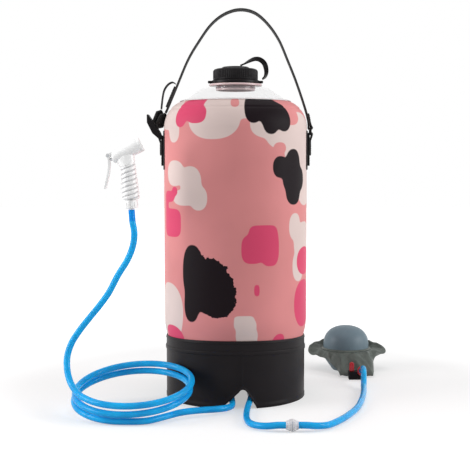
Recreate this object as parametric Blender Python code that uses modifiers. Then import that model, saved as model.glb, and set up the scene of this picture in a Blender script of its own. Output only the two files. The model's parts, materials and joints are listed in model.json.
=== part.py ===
"""Pressure camp shower: a standing soft tank with a strap, a hose with a trigger handset, and a foot pump.

Metres, +Z up. The tank stands on z = 0 and its axis is the z axis of the empty named stand.
The strap, the tether and the lock lie in the plane y = 0 of that empty, so they are drawn as x, z outlines.
"""

import math

import bmesh
import bpy
from mathutils import Matrix, Vector

# Clearances
SEAT = 0.0003
RUN_FIT = 0.0004

# Where the tank axis stands, so that the whole set is centred over the origin
STAND = (-0.0340, -0.0567, 0.0)

# Tank
TANK_RADIUS = 0.1040
FOOT_DRAW = 0.0010
WALL = 0.0015
SHOULDER_Z = 0.3890
SHOULDER_RISE = 0.0415
SHOULDER_DEPTH = 0.0360
SHOULDER_END = math.radians(74)
CLEAR_WALL = 0.0012
WELD_WIDTH = 0.0050
WELD_HEIGHT = 0.0009
FLOOR_Z = 0.0680
FLOOR_THICKNESS = 0.0020

# Base skirt
SKIRT_DRAW = 0.0028
SKIRT_WALL = 0.0018
SKIRT_TOP = 0.0880
HEM_HEIGHT = 0.0050
HEM_WIDTH = 0.0045
BAND_Z = 0.0680
BAND_HEIGHT = 0.0060
NOTCH_LEFT = -0.0180
NOTCH_RIGHT = 0.0290
NOTCH_HEIGHT = 0.0270

# Filler neck and cap
NECK_RADIUS = 0.0285
NECK_WALL = 0.0035
NECK_BELOW = 0.0065
NECK_ABOVE = 0.0190
FLANGE_REACH = 0.0100
FLANGE_RISE = 0.0620
FLANGE_THICKNESS = 0.0034
TETHER_RING_THICKNESS = 0.0045
TETHER_RING_WIDTH = 0.0060
TETHER_EAR_REACH = 0.0055
CAP_WALL = 0.0033
CAP_CLEARANCE = 0.0007
CAP_LID = 0.0036
CAP_RIBS = 36
GASKET_HEIGHT = 0.0018
BUTTON_RADIUS = 0.0200
BUTTON_HEIGHT = 0.0030
TETHER_WIDTH = 0.0080
TETHER_THICKNESS = 0.0022

# Carry strap
WEB_WIDTH = 0.0250
WEB = 0.0018
THIN_WEB = 0.0011
STRAP_RISE = 0.1716
TAB_LENGTH = 0.0140
PIVOT_DROP = 0.0390
RING_WIRE = 0.0011
RING_HALF_WIDTH = 0.0148
RING_LOW_DROP = 0.0075
RING_HEIGHT = 0.0095
PATCH_WIDTH = 0.0420
PATCH_LOW_DROP = 0.0600
PATCH_HIGH_DROP = 0.0010
PATCH = 0.0008
LOCK_BAR_DROP = 0.0115
LOCK_LEAN = math.radians(-26.9)
LOCK_LENGTH = 0.0370
LOCK_RAIL = 0.0030
LOCK_DEPTH = 0.0075
LOCK_MID = 0.0150

# Hoses
HOSE_RADIUS = 0.0045
HOSE_STEP = 0.0200
STRAIGHT = 0.0100
FLOOR_GAP = 0.0003

# Fittings under the tank
OUTLET_X = -0.0070
INLET_X = 0.0240
FITTING_Y = -0.0300
FITTING_FLANGE = 0.0150
STEM_WALL = 0.0015
ELBOW_Z = 0.0140
ELBOW_REACH = 0.0280
CLAMP_WALL = 0.0030
CLAMP_LENGTH = 0.0090

# Handset, in its own frame: z up the grip from the hose end, x towards the spray
HANDSET = (-0.1416, -0.1100, 0.2774)
HANDSET_LEAN = math.radians(-4)
NUT_RADIUS = 0.0095
NUT_LENGTH = 0.0117
CORE_RADIUS = 0.0074
CORE_BOTTOM = 0.0060
FERRULE_SEAT = 0.0045
GRIP_BOTTOM = 0.0140
GRIP_TOP = 0.0640
GRIP_LOW_RADIUS = 0.0126
GRIP_HIGH_RADIUS = 0.0098
GRIP_STARTS = 3
GRIP_LEAD = 0.0186
GRIP_GROOVE = 0.0011
GRIP_RINGS = 28
GRIP_SIDES = 20
BARREL_AT = (-0.0206, 0.0, 0.0703)
BARREL_LIFT = math.radians(-22.8)
BARREL_LENGTH = 0.0440
BARREL_RADIUS = 0.0090
BEZEL_RADIUS = 0.0101
SPRAY_RADIUS = 0.0082
PLUNGER_RADIUS = 0.0020
PLUNGER_FACE_X = -0.0028
PLUNGER_DEPTH = 0.0085
PIN_X = -0.0030
PIN_Z = 0.0065
PIN_RADIUS = 0.0015
LEVER_WIDTH = 0.0120
LEVER_THICKNESS = 0.0028
LUG_WIDTH = 0.0040

# Coil of the shower hose, leaning on the skirt
COIL_CENTRE = (-0.1397, -0.1167)
COIL_RADIUS = 0.0790
COIL_LEAN = math.radians(12)
COIL_WAY = math.radians(76)
COIL_GAP = 0.0018
COIL_START = 222
COIL_END = 985
COIL_POINTS_PER_TURN = 24

# Foot pump, in its own frame on the floor
PUMP = (0.1820, 0.1900, 0.0)
PAN_RADIUS = 0.0400
PAN_HEIGHT = 0.0330
PAN_WALL = 0.0018
BRIM = 0.0014
BELLOWS_INSET = 0.0032
BELLOWS_WALL = 0.0016
CROWN_RADIUS = 0.0215
CROWN_EDGE_Z = 0.0670
PUMP_HEIGHT = 0.0725
TAIL_REACH = 0.0340
TAIL_HALF_WIDTH = 0.0265
BLOCK_SIZE = (0.0260, 0.0160, 0.0125)
BLOCK_X = 0.0090
PORT_TILT = math.radians(30)
PORT_X = 0.0155
PORT_WALL = 0.0017
COLLAR_WALL = 0.0027
COLLAR_LENGTH = 0.0050
PLUG_X = 0.0010

# Check valve on the pump hose
VALVE_AT = (0.0720, -0.2280)
VALVE_WALL = 0.0035
VALVE_LENGTH = 0.0160

# Worked out from the sizes above
FLAT = (math.pi / 2, 0, 0)
TANK_FOOT_RADIUS = TANK_RADIUS - FOOT_DRAW
SKIRT_RADIUS = TANK_RADIUS - SKIRT_DRAW
FLANGE_Z = SHOULDER_Z + FLANGE_RISE
FLANGE_RADIUS = NECK_RADIUS + FLANGE_REACH
NECK_BORE = NECK_RADIUS - NECK_WALL
NECK_BOTTOM = FLANGE_Z - NECK_BELOW
NECK_TOP = FLANGE_Z + NECK_ABOVE
TETHER_RING_RADIUS = NECK_RADIUS + TETHER_RING_WIDTH
TETHER_EAR = TETHER_RING_RADIUS + TETHER_EAR_REACH
CAP_RADIUS = NECK_RADIUS + CAP_CLEARANCE + CAP_WALL
STRAP_PIVOT_Z = SHOULDER_Z - PIVOT_DROP
RING_LOW_Z = SHOULDER_Z - RING_LOW_DROP
RING_HIGH_Z = RING_LOW_Z + RING_HEIGHT
LOCK_BAR_Z = SHOULDER_Z - LOCK_BAR_DROP
STEM_RADIUS = HOSE_RADIUS + STEM_WALL
CLAMP_RADIUS = HOSE_RADIUS + CLAMP_WALL
COLLAR_RADIUS = HOSE_RADIUS + COLLAR_WALL
COIL_PITCH = 2 * HOSE_RADIUS + COIL_GAP
VALVE_RADIUS = HOSE_RADIUS + VALVE_WALL
VALVE_CENTRE = (*VALVE_AT, VALVE_RADIUS + RUN_FIT)
BELLOWS_RADIUS = PAN_RADIUS - BELLOWS_INSET
TAIL_Y = -(PAN_RADIUS + TAIL_REACH)
EYE_BORE = RING_WIRE + RUN_FIT
EYE_OUTER = EYE_BORE + WEB
TAB_X = TANK_RADIUS + SEAT + PATCH + SEAT + WEB / 2
RING_X = TAB_X + WEB / 2 + EYE_BORE

# Colours
PRINT = ((0.74, 0.42, 0.43), 0.45, 0.0)
CLEAR = ((0.92, 0.93, 0.93), 0.15, 0.0)
BLACK_PVC = ((0.03, 0.03, 0.032), 0.4, 0.0)
BLACK_PLASTIC = ((0.02, 0.02, 0.022), 0.35, 0.0)
WEBBING = ((0.022, 0.022, 0.024), 0.8, 0.0)
NECK_PINK = ((0.8, 0.62, 0.62), 0.3, 0.0)
OFF_WHITE = ((0.82, 0.81, 0.76), 0.4, 0.0)
STEEL = ((0.6, 0.6, 0.62), 0.3, 1.0)
HOSE_BLUE = ((0.28, 0.58, 0.68), 0.2, 0.0)
SLATE = ((0.12, 0.16, 0.19), 0.45, 0.0)
SEAM_GREY = ((0.13, 0.16, 0.16), 0.45, 0.0)
RED = ((0.62, 0.03, 0.04), 0.35, 0.0)
RUBBER = ((0.03, 0.03, 0.03), 0.7, 0.0)
FOAM = ((0.7, 0.68, 0.6), 0.9, 0.0)


def clear_scene():
    for obj in list(bpy.data.objects):
        bpy.data.objects.remove(obj)


def new_collection(name):
    collection = bpy.data.collections.new(name)
    bpy.context.scene.collection.children.link(collection)
    return collection


def empty(name, parent=None, at=(0, 0, 0), turn=(0, 0, 0)):
    obj = bpy.data.objects.new(name, None)
    obj.empty_display_size = 0.02
    obj.parent = parent
    obj.location = at
    obj.rotation_euler = turn
    PARTS.objects.link(obj)
    return obj


def paint(obj, finish):
    colour, roughness, metallic = finish
    material = bpy.data.materials.new(obj.name + "_finish")
    material.use_nodes = True
    shader = material.node_tree.nodes["Principled BSDF"]
    shader.inputs["Base Color"].default_value = (*colour, 1.0)
    shader.inputs["Roughness"].default_value = roughness
    shader.inputs["Metallic"].default_value = metallic
    obj.data.materials.append(material)


def place(name, data, finish, parent, at=(0, 0, 0), turn=(0, 0, 0)):
    obj = bpy.data.objects.new(name, data)
    obj.parent = parent
    obj.location = at
    obj.rotation_euler = turn
    if finish is None:
        obj.hide_render = True
        obj.display_type = "WIRE"
        CUTTERS.objects.link(obj)
    else:
        paint(obj, finish)
        PARTS.objects.link(obj)
    return obj


def turned(name, profile, finish, parent, at=(0, 0, 0), turn=(0, 0, 0), closed=True, shell=0.0, steps=40):
    """A body of revolution. The profile is (radius, height) and runs down its outer side."""
    mesh = bpy.data.meshes.new(name)
    edges = [(i, i + 1) for i in range(len(profile) - 1)]
    if closed:
        edges.append((len(profile) - 1, 0))
    mesh.from_pydata([(radius, 0.0, height) for radius, height in profile], edges, [])
    obj = place(name, mesh, finish, parent, at, turn)
    screw = obj.modifiers.new("Turn", "SCREW")
    screw.steps = steps
    screw.render_steps = steps
    screw.use_merge_vertices = True
    screw.merge_threshold = 0.00001
    screw.use_smooth_shade = True
    if shell:
        wall = obj.modifiers.new("Wall", "SOLIDIFY")
        wall.thickness = shell
        wall.offset = -1.0
        wall.use_even_offset = True
    return obj


def rod(name, radius, length, finish, parent, at=(0, 0, 0), turn=(0, 0, 0), sides=20):
    """A cylinder centred on its own origin, along z."""
    mesh = bpy.data.meshes.new(name)
    shape = bmesh.new()
    bmesh.ops.create_cone(shape, cap_ends=True, segments=sides, radius1=radius, radius2=radius, depth=length)
    shape.to_mesh(mesh)
    shape.free()
    mesh.shade_smooth()
    mesh.set_sharp_from_angle(angle=math.radians(40))
    return place(name, mesh, finish, parent, at, turn)


def box(name, size, finish, parent, at=(0, 0, 0), turn=(0, 0, 0), bevel=0.0):
    mesh = bpy.data.meshes.new(name)
    shape = bmesh.new()
    bmesh.ops.create_cube(shape, size=1.0, matrix=Matrix.Diagonal((*size, 1.0)))
    shape.to_mesh(mesh)
    shape.free()
    obj = place(name, mesh, finish, parent, at, turn)
    if bevel:
        rounding = obj.modifiers.new("Edges", "BEVEL")
        rounding.width = bevel
        rounding.segments = 2
    return obj


def to_mesh(obj):
    """The same object as a mesh, so that it can be cut or joined."""
    bpy.context.view_layer.update()
    graph = bpy.context.evaluated_depsgraph_get()
    mesh = bpy.data.meshes.new_from_object(obj.evaluated_get(graph))
    shape = bmesh.new()
    shape.from_mesh(mesh)
    bmesh.ops.remove_doubles(shape, verts=shape.verts, dist=0.000005)
    shape.to_mesh(mesh)
    shape.free()
    solid = bpy.data.objects.new(obj.name + "_solid", mesh)
    obj.users_collection[0].objects.link(solid)
    solid.parent = obj.parent
    solid.matrix_world = obj.matrix_world
    solid.hide_render = obj.hide_render
    solid.display_type = obj.display_type
    name = obj.name
    bpy.data.objects.remove(obj)
    solid.name = name
    return solid


def outline(name, points, width, finish, parent, at=(0, 0, 0), turn=(math.pi / 2, 0, 0)):
    """A flat outline given as x, z and extruded along y by the width."""
    curve = bpy.data.curves.new(name, "CURVE")
    curve.dimensions = "2D"
    curve.fill_mode = "BOTH"
    curve.extrude = width / 2
    spline = curve.splines.new("POLY")
    spline.points.add(len(points) - 1)
    for point, (x, z) in zip(spline.points, points):
        point.co = (x, z, 0.0, 1.0)
    spline.use_cyclic_u = True
    return to_mesh(place(name, curve, finish, parent, at, turn))


def tube(name, points, radius, finish, parent, at=(0, 0, 0), rings=2, cyclic=False):
    curve = bpy.data.curves.new(name, "CURVE")
    curve.dimensions = "3D"
    curve.bevel_depth = radius
    curve.bevel_resolution = rings
    curve.use_fill_caps = not cyclic
    spline = curve.splines.new("POLY")
    spline.points.add(len(points) - 1)
    for point, place_of in zip(spline.points, points):
        point.co = (*place_of, 1.0)
    spline.use_cyclic_u = cyclic
    return place(name, curve, finish, parent, at)


def combine(obj, other, operation="DIFFERENCE"):
    """Cuts the other body from this one, or joins it on, and keeps the other as a hidden tool."""
    change = obj.modifiers.new(operation.title(), "BOOLEAN")
    change.operation = operation
    change.solver = "EXACT"
    change.object = other
    return obj


def smooth(points, step):
    """Evenly spaced points on a smooth curve through the given ones."""
    ends = [points[0], *points, points[-1]]
    dense = []
    for i in range(1, len(ends) - 2):
        a, b, c, d = (Vector(p) for p in ends[i - 1 : i + 3])
        for k in range(16):
            t = k / 16
            curved = (2 * a - 5 * b + 4 * c - d) * t**2 + (3 * b - a - 3 * c + d) * t**3
            dense.append(0.5 * (2 * b + (c - a) * t + curved))
    dense.append(Vector(points[-1]))
    return spaced(dense, step)


def spaced(dense, step):
    """The same line with its points at equal steps along it."""
    lengths = [0.0]
    for a, b in zip(dense, dense[1:]):
        lengths.append(lengths[-1] + (b - a).length)
    count = max(2, round(lengths[-1] / step))
    result = []
    index = 0
    for k in range(count + 1):
        wanted = lengths[-1] * k / count
        while index < len(dense) - 2 and lengths[index + 1] < wanted:
            index += 1
        span = lengths[index + 1] - lengths[index]
        share = (wanted - lengths[index]) / span if span else 0.0
        result.append(dense[index].lerp(dense[index + 1], share))
    return result


def arc(centre, radius, start, end, steps):
    """Points of an arc in degrees, as pairs."""
    angles = [math.radians(start + (end - start) * k / steps) for k in range(steps + 1)]
    return [(centre[0] + radius * math.cos(a), centre[1] + radius * math.sin(a)) for a in angles]


def band(path, thickness):
    """The side outline of a band whose middle line is the path of x, z pairs."""
    first, second = [], []
    for i, point in enumerate(path):
        before = Vector(path[max(i - 1, 0)])
        after = Vector(path[min(i + 1, len(path) - 1)])
        along = (after - before).normalized()
        side = Vector((-along.y, along.x)) * thickness / 2
        first.append(tuple(Vector(point) + side))
        second.append(tuple(Vector(point) - side))
    return first + second[::-1]


def beside(path, distance):
    """The path moved sideways, to the left of its own direction."""
    edge = band(path, 2 * distance)
    return edge[: len(path)]


def webbing(name, path, thickness, finish, parent, eyes=()):
    """A webbing band in the strap plane, with a sewn eye round each wire that it carries."""
    at = (0, 0, -parent_height(parent))
    obj = outline(name, band(path, thickness), WEB_WIDTH, finish, parent, at)
    for number, (x, z) in enumerate(eyes):
        ring = rod(f"{name}_eye_{number}", EYE_OUTER, WEB_WIDTH, None, parent, (x, 0, z + at[2]), FLAT, 12)
        combine(obj, ring, "UNION")
    for number, (x, z) in enumerate(eyes):
        centre = (x, 0, z + at[2])
        hole = rod(f"{name}_bore_{number}", EYE_BORE, 2 * WEB_WIDTH, None, parent, centre, FLAT, 12)
        combine(obj, hole)
    return obj


def parent_height(parent):
    """How far an empty on the stand lies above the floor."""
    return parent.location.z


def shoulder_line(start=0.0, end=SHOULDER_END, steps=5):
    """Radius and height pairs over the rounded shoulder, from its side to its top."""
    line = []
    for k in range(steps + 1):
        a = start + (end - start) * k / steps
        radius = TANK_RADIUS - SHOULDER_DEPTH * (1 - math.cos(a))
        line.append((radius, SHOULDER_Z + SHOULDER_RISE * math.sin(a)))
    return line


def build_tank(stand):
    skirt_bore = SKIRT_RADIUS - SKIRT_WALL
    tucked = skirt_bore - SEAT
    side = shoulder_line()[::-1]
    side += [(TANK_RADIUS, 0.115), (TANK_FOOT_RADIUS, SKIRT_TOP + 0.012), (tucked, SKIRT_TOP - 0.001)]
    side.append((tucked, FLOOR_Z))
    turned("tank_wall", side, PRINT, stand, closed=False, shell=WALL, steps=40)
    build_shoulder(stand)
    floor_radius = tucked - WALL - SEAT
    floor = turned(
        "tank_floor",
        [
            (0, FLOOR_Z + FLOOR_THICKNESS),
            (floor_radius, FLOOR_Z + FLOOR_THICKNESS),
            (floor_radius, FLOOR_Z),
            (0, FLOOR_Z),
        ],
        BLACK_PVC,
        stand,
        closed=False,
        steps=40,
    )
    for label, x in (("outlet", OUTLET_X), ("inlet", INLET_X)):
        centre = (x, FITTING_Y, FLOOR_Z)
        hole = rod(f"{label}_hole", STEM_RADIUS + 2 * SEAT, 0.02, None, stand, centre, sides=12)
        combine(floor, hole)
    build_skirt(stand)


def build_shoulder(stand):
    """The see-through cone between the printed wall and the neck, and the weld over their joint."""
    edge_radius, edge_z = shoulder_line()[-1]
    outer = edge_radius - 1.3 * SEAT
    top_z = FLANGE_Z - SEAT
    profile = [
        (NECK_RADIUS + SEAT, top_z),
        (FLANGE_RADIUS, top_z),
        (FLANGE_RADIUS + 0.010, top_z - 0.0042),
        (outer - 0.012, edge_z + 0.0042),
        (outer, edge_z - 0.0002),
    ]
    turned("clear_shoulder", profile, CLEAR, stand, closed=False, shell=CLEAR_WALL, steps=40)
    slope = (0.0042 + 0.0002) / 0.012
    lift = edge_z + WELD_HEIGHT
    half = WELD_WIDTH / 2
    turned(
        "shoulder_weld",
        [
            (edge_radius - half, lift + half * slope),
            (edge_radius + half, lift - half * slope),
            (edge_radius + half, lift - half * slope - WELD_HEIGHT + SEAT),
            (edge_radius - half, lift + half * slope - WELD_HEIGHT + SEAT),
        ],
        CLEAR,
        stand,
        steps=40,
    )


def build_skirt(stand):
    bore = SKIRT_RADIUS - SKIRT_WALL
    skirt = turned(
        "base_skirt",
        [
            (SKIRT_RADIUS, SKIRT_TOP),
            (SKIRT_RADIUS, HEM_HEIGHT + 0.001),
            (SKIRT_RADIUS + 0.0005, HEM_HEIGHT),
            (SKIRT_RADIUS + 0.0005, 0.0),
            (SKIRT_RADIUS - HEM_WIDTH, 0.0),
            (SKIRT_RADIUS - HEM_WIDTH, HEM_HEIGHT),
            (bore, HEM_HEIGHT + 0.001),
            (bore, SKIRT_TOP),
        ],
        BLACK_PVC,
        stand,
        steps=40,
    )
    crown = arc((0.5 * (NOTCH_LEFT + NOTCH_RIGHT) + 0.005, NOTCH_HEIGHT - 0.006), 0.006, 20, 160, 6)
    arch = [(NOTCH_LEFT, -0.01), (NOTCH_RIGHT, -0.01), (NOTCH_RIGHT, 0.002), *crown, (NOTCH_LEFT, 0.002)]
    notch = outline("skirt_notch", arch, 0.04, None, stand, at=(0, -SKIRT_RADIUS, 0))
    combine(skirt, notch)
    turned(
        "skirt_weld_band",
        [
            (SKIRT_RADIUS + 0.0012, BAND_Z + BAND_HEIGHT - 0.001),
            (SKIRT_RADIUS + 0.0012, BAND_Z + 0.001),
            (SKIRT_RADIUS + SEAT, BAND_Z),
            (SKIRT_RADIUS + SEAT, BAND_Z + BAND_HEIGHT),
        ],
        BLACK_PVC,
        stand,
        steps=40,
    )


def build_neck(stand):
    turned(
        "filler_neck",
        [
            (NECK_RADIUS, NECK_TOP),
            (NECK_RADIUS, FLANGE_Z + FLANGE_THICKNESS),
            (FLANGE_RADIUS - 0.0008, FLANGE_Z + FLANGE_THICKNESS),
            (FLANGE_RADIUS, FLANGE_Z + FLANGE_THICKNESS - 0.0008),
            (FLANGE_RADIUS, FLANGE_Z),
            (NECK_RADIUS, FLANGE_Z),
            (NECK_RADIUS, NECK_BOTTOM),
            (NECK_BORE, NECK_BOTTOM),
            (NECK_BORE, NECK_TOP),
        ],
        NECK_PINK,
        stand,
        steps=32,
    )
    ring_z = FLANGE_Z + FLANGE_THICKNESS + SEAT
    ring = turned(
        "tether_ring",
        [
            (TETHER_RING_RADIUS, ring_z + TETHER_RING_THICKNESS),
            (TETHER_RING_RADIUS, ring_z),
            (NECK_RADIUS + RUN_FIT, ring_z),
            (NECK_RADIUS + RUN_FIT, ring_z + TETHER_RING_THICKNESS),
        ],
        BLACK_PLASTIC,
        stand,
        steps=32,
    )
    ear_z = ring_z + TETHER_RING_THICKNESS / 2
    for side in (-1, 1):
        ear = box(
            f"tether_ear_{side}",
            (TETHER_EAR - TETHER_RING_RADIUS + 0.003, 0.011, TETHER_RING_THICKNESS - 0.001),
            None,
            stand,
            (side * (TETHER_EAR + TETHER_RING_RADIUS - 0.003) / 2, 0, ear_z),
            bevel=0.001,
        )
        combine(ring, ear, "UNION")
    return ring_z + TETHER_RING_THICKNESS


def build_cap(stand, ring_top):
    carrier = empty("cap_carrier", stand, (0, 0, ring_top + RUN_FIT))
    axis = empty("cap_axis", carrier)
    base = ring_top + RUN_FIT
    ceiling = NECK_TOP + SEAT + GASKET_HEIGHT + SEAT - base
    top = ceiling + CAP_LID
    bore = NECK_RADIUS + CAP_CLEARANCE
    cap = turned(
        "screw_cap",
        [
            (0, top),
            (CAP_RADIUS - 0.0045, top),
            (CAP_RADIUS - 0.0016, top - 0.0010),
            (CAP_RADIUS, top - 0.0035),
            (CAP_RADIUS, 0.0008),
            (CAP_RADIUS - 0.0008, 0.0),
            (bore, 0.0),
            (bore, ceiling),
            (0, ceiling),
        ],
        BLACK_PLASTIC,
        axis,
        closed=False,
        steps=CAP_RIBS,
    )
    grooves = bpy.data.meshes.new("cap_grooves")
    shape = bmesh.new()
    low, high = 0.0004, top - 0.0044
    for number in range(CAP_RIBS):
        turn = Matrix.Rotation(2 * math.pi * number / CAP_RIBS, 4, "Z")
        where = Matrix.Translation((CAP_RADIUS + 0.0006, 0, (low + high) / 2))
        size = Matrix.Diagonal((0.0024, 0.0016, high - low, 1.0))
        bmesh.ops.create_cube(shape, size=1.0, matrix=turn @ where @ size)
    shape.to_mesh(grooves)
    shape.free()
    combine(cap, place("cap_groove_tool", grooves, None, axis))
    turned(
        "cap_gasket",
        [
            (NECK_RADIUS, ceiling - SEAT),
            (NECK_RADIUS, ceiling - SEAT - GASKET_HEIGHT),
            (NECK_BORE - 0.001, ceiling - SEAT - GASKET_HEIGHT),
            (NECK_BORE - 0.001, ceiling - SEAT),
        ],
        RUBBER,
        axis,
        steps=32,
    )
    build_tether(carrier, base, base + top)


def build_tether(carrier, base, cap_top):
    """The button on the cap and the moulded strap from it down to the ring's ear, in one flexible piece."""
    low = cap_top - base + SEAT
    turned(
        "tether_button",
        [
            (0, low + BUTTON_HEIGHT),
            (BUTTON_RADIUS - 0.004, low + BUTTON_HEIGHT - 0.0002),
            (BUTTON_RADIUS - 0.001, low + BUTTON_HEIGHT - 0.0009),
            (BUTTON_RADIUS, low + 0.0012),
            (BUTTON_RADIUS, low),
            (0, low),
        ],
        BLACK_PLASTIC,
        carrier,
        closed=False,
        steps=32,
    )
    rise = cap_top + BUTTON_HEIGHT + SEAT
    route = [
        (0.0070, rise + 0.0012),
        (0.0130, rise + 0.0038),
        (0.0215, rise + 0.0083),
        (TETHER_EAR - 0.0110, rise + 0.0108),
        (TETHER_EAR - 0.0035, rise + 0.0092),
        (TETHER_EAR + 0.0025, rise + 0.0030),
        (TETHER_EAR + 0.0047, cap_top - 0.0035),
        (TETHER_EAR + 0.0030, cap_top - 0.0110),
        (TETHER_EAR - 0.0012, base + 0.0016),
    ]
    line = [(p.x, p.y) for p in smooth([(x, z, 0.0) for x, z in route], 0.0035)]
    side = band(line, TETHER_THICKNESS)
    outline("tether_strap", side, TETHER_WIDTH, BLACK_PLASTIC, carrier, at=(0, 0, -base))


def above(rise):
    """The height of something that sits this far above the top of the printed side."""
    return SHOULDER_Z + rise


def strap_route():
    """The middle line of the carry strap from the right ring over the top to the left end, as x, z pairs."""
    return [
        (TAB_X, RING_HIGH_Z),
        (TAB_X - 0.0005, above(0.0110)),
        (TAB_X - 0.0053, above(0.0300)),
        (0.828 * TAB_X, above(0.0680)),
        (0.710 * TAB_X, above(0.0990)),
        (0.591 * TAB_X, above(0.1280)),
        (0.439 * TAB_X, above(0.1510)),
        (0.261 * TAB_X, above(0.1670)),
        (0.053 * TAB_X, above(STRAP_RISE)),
        (-0.154 * TAB_X, above(0.1650)),
        (-0.334 * TAB_X, above(0.1500)),
        (-0.498 * TAB_X, above(0.1260)),
        (-0.649 * TAB_X, above(0.0990)),
        (-TAB_X + 0.0194, above(0.0570)),
        (-TAB_X + 0.0073, above(0.0286)),
        (-TAB_X + 0.0051, above(0.0240)),
    ]


def flat_smooth(points, step):
    return [(p.x, p.y) for p in smooth([(x, z, 0.0) for x, z in points], step)]


def build_carry_strap(stand):
    pivot = empty("strap_pivot", stand, (0, 0, STRAP_PIVOT_Z))
    line = flat_smooth(strap_route(), 0.010)
    webbing("carry_strap", line, WEB, WEBBING, pivot, eyes=[(RING_X, RING_HIGH_Z)])
    layer = [p for p in line if p[0] < 0 and above(0.0305) < p[1] < above(0.0610)]
    webbing("strap_second_layer", beside(layer[::-1], WEB + SEAT), WEB, WEBBING, pivot)
    tail = [
        (-TAB_X - 0.0013, above(0.0288)),
        (-TAB_X + 0.0007, above(0.0460)),
        (-TAB_X + 0.0033, above(0.0566)),
        (-TAB_X + 0.0083, above(0.0640)),
        (-TAB_X + 0.0148, above(0.0676)),
        (-TAB_X + 0.0195, above(0.0655)),
    ]
    webbing("strap_tail_loop", flat_smooth(tail, 0.004), THIN_WEB, WEBBING, pivot)
    build_right_ring(pivot)
    for label, side, eye_z in (("right", 1, RING_LOW_Z), ("left", -1, LOCK_BAR_Z)):
        tab_x = side * TAB_X
        path = [(tab_x, STRAP_PIVOT_Z - TAB_LENGTH), (tab_x, STRAP_PIVOT_Z), (tab_x, eye_z)]
        tab = webbing(f"{label}_tab", path, WEB, WEBBING, pivot, eyes=[(side * RING_X, eye_z)])
        fold = box(
            f"{label}_fold_tool",
            (WEB * 1.7, WEB_WIDTH, 0.0160),
            None,
            pivot,
            (tab_x + side * WEB * 0.34, 0, 0.0090),
            bevel=0.0006,
        )
        combine(tab, fold, "UNION")
    build_lock(pivot)


def build_right_ring(pivot):
    corner = 0.003
    low = RING_LOW_Z - STRAP_PIVOT_Z
    high = RING_HIGH_Z - STRAP_PIVOT_Z
    half = RING_HALF_WIDTH
    points = []
    for cy, cz, start in (
        (half - corner, high - corner, 0),
        (-half + corner, high - corner, 90),
        (-half + corner, low + corner, 180),
        (half - corner, low + corner, 270),
    ):
        points += [(RING_X, y, z) for y, z in arc((cy, cz), corner, start, start + 90, 3)]
    tube("right_ring", points, RING_WIRE, BLACK_PLASTIC, pivot, cyclic=True)


def build_lock(pivot):
    """The ladder lock on the left tab, with the webbing that wraps its middle bar."""
    at = (-RING_X, 0, LOCK_BAR_Z - STRAP_PIVOT_Z)
    axis = empty("lock_axis", pivot, at)
    frame = empty("lock_frame", axis, turn=(0, LOCK_LEAN, 0))
    deep = LOCK_DEPTH
    rail_line = [
        (0.0020, -0.0022),
        (0.0026, 0.0080),
        (0.0010, 0.0200),
        (-0.0006, LOCK_LENGTH),
        (-0.0026, LOCK_LENGTH),
        (-deep, 0.0270),
        (-deep, 0.0100),
        (-0.0028, -0.0020),
        (-0.0004, -0.0034),
    ]
    inner = WEB_WIDTH / 2 + RUN_FIT
    rail_y = inner + LOCK_RAIL / 2
    lock = outline("ladder_lock", rail_line, LOCK_RAIL, BLACK_PLASTIC, frame, at=(0, rail_y, 0))
    far = outline("lock_rail_tool", rail_line, LOCK_RAIL, None, frame, at=(0, -rail_y, 0))
    combine(lock, far, "UNION")
    span = 2 * inner + LOCK_RAIL
    for number, (x, z) in enumerate(((0, 0), (0, LOCK_MID), (-0.0020, 0.0250))):
        bar = rod(f"lock_bar_tool_{number}", RING_WIRE, span, None, frame, (x, 0, z), FLAT, 12)
        combine(lock, bar, "UNION")
    lip_at = (-0.0016, 0, LOCK_LENGTH - 0.0040)
    lip = box("lock_lip_tool", (0.0022, span, 0.0080), None, frame, lip_at, bevel=0.0005)
    combine(lock, lip, "UNION")
    build_wrap(axis)


def build_wrap(axis):
    """A U of webbing round the lock's middle bar: one leg meets the strap's end, the other meets its tail."""
    mid = (LOCK_MID * math.sin(LOCK_LEAN) - RING_X, LOCK_BAR_Z + LOCK_MID * math.cos(LOCK_LEAN))
    reach = RING_WIRE + RUN_FIT + WEB / 2
    strap_end = (-TAB_X + 0.0047, above(0.0232))
    tail_end = (-TAB_X - 0.0011, above(0.0276))
    bend = arc(mid, reach, -25, -205, 8)
    route = [strap_end, *bend, tail_end]
    at = (RING_X, 0, -LOCK_BAR_Z)
    outline("strap_wrap", band(route, WEB), WEB_WIDTH, WEBBING, axis, at=at)


def build_patches(stand):
    """A curved patch on each side of the tank, which carries its strap tab."""
    low, high = SHOULDER_Z - PATCH_LOW_DROP, SHOULDER_Z - PATCH_HIGH_DROP
    for label, side in (("right", 1), ("left", -1)):
        patch = turned(
            f"{label}_patch",
            [
                (TANK_RADIUS + SEAT + PATCH, high),
                (TANK_RADIUS + SEAT + PATCH, low),
                (TANK_RADIUS + SEAT, low),
                (TANK_RADIUS + SEAT, high),
            ],
            BLACK_PVC,
            stand,
            steps=112,
        )
        keep = box(
            f"{label}_patch_tool",
            (0.03, PATCH_WIDTH, high - low - 0.0030),
            None,
            stand,
            (side * TANK_RADIUS, 0, (low + high) / 2),
        )
        combine(patch, keep, "INTERSECT")


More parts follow.
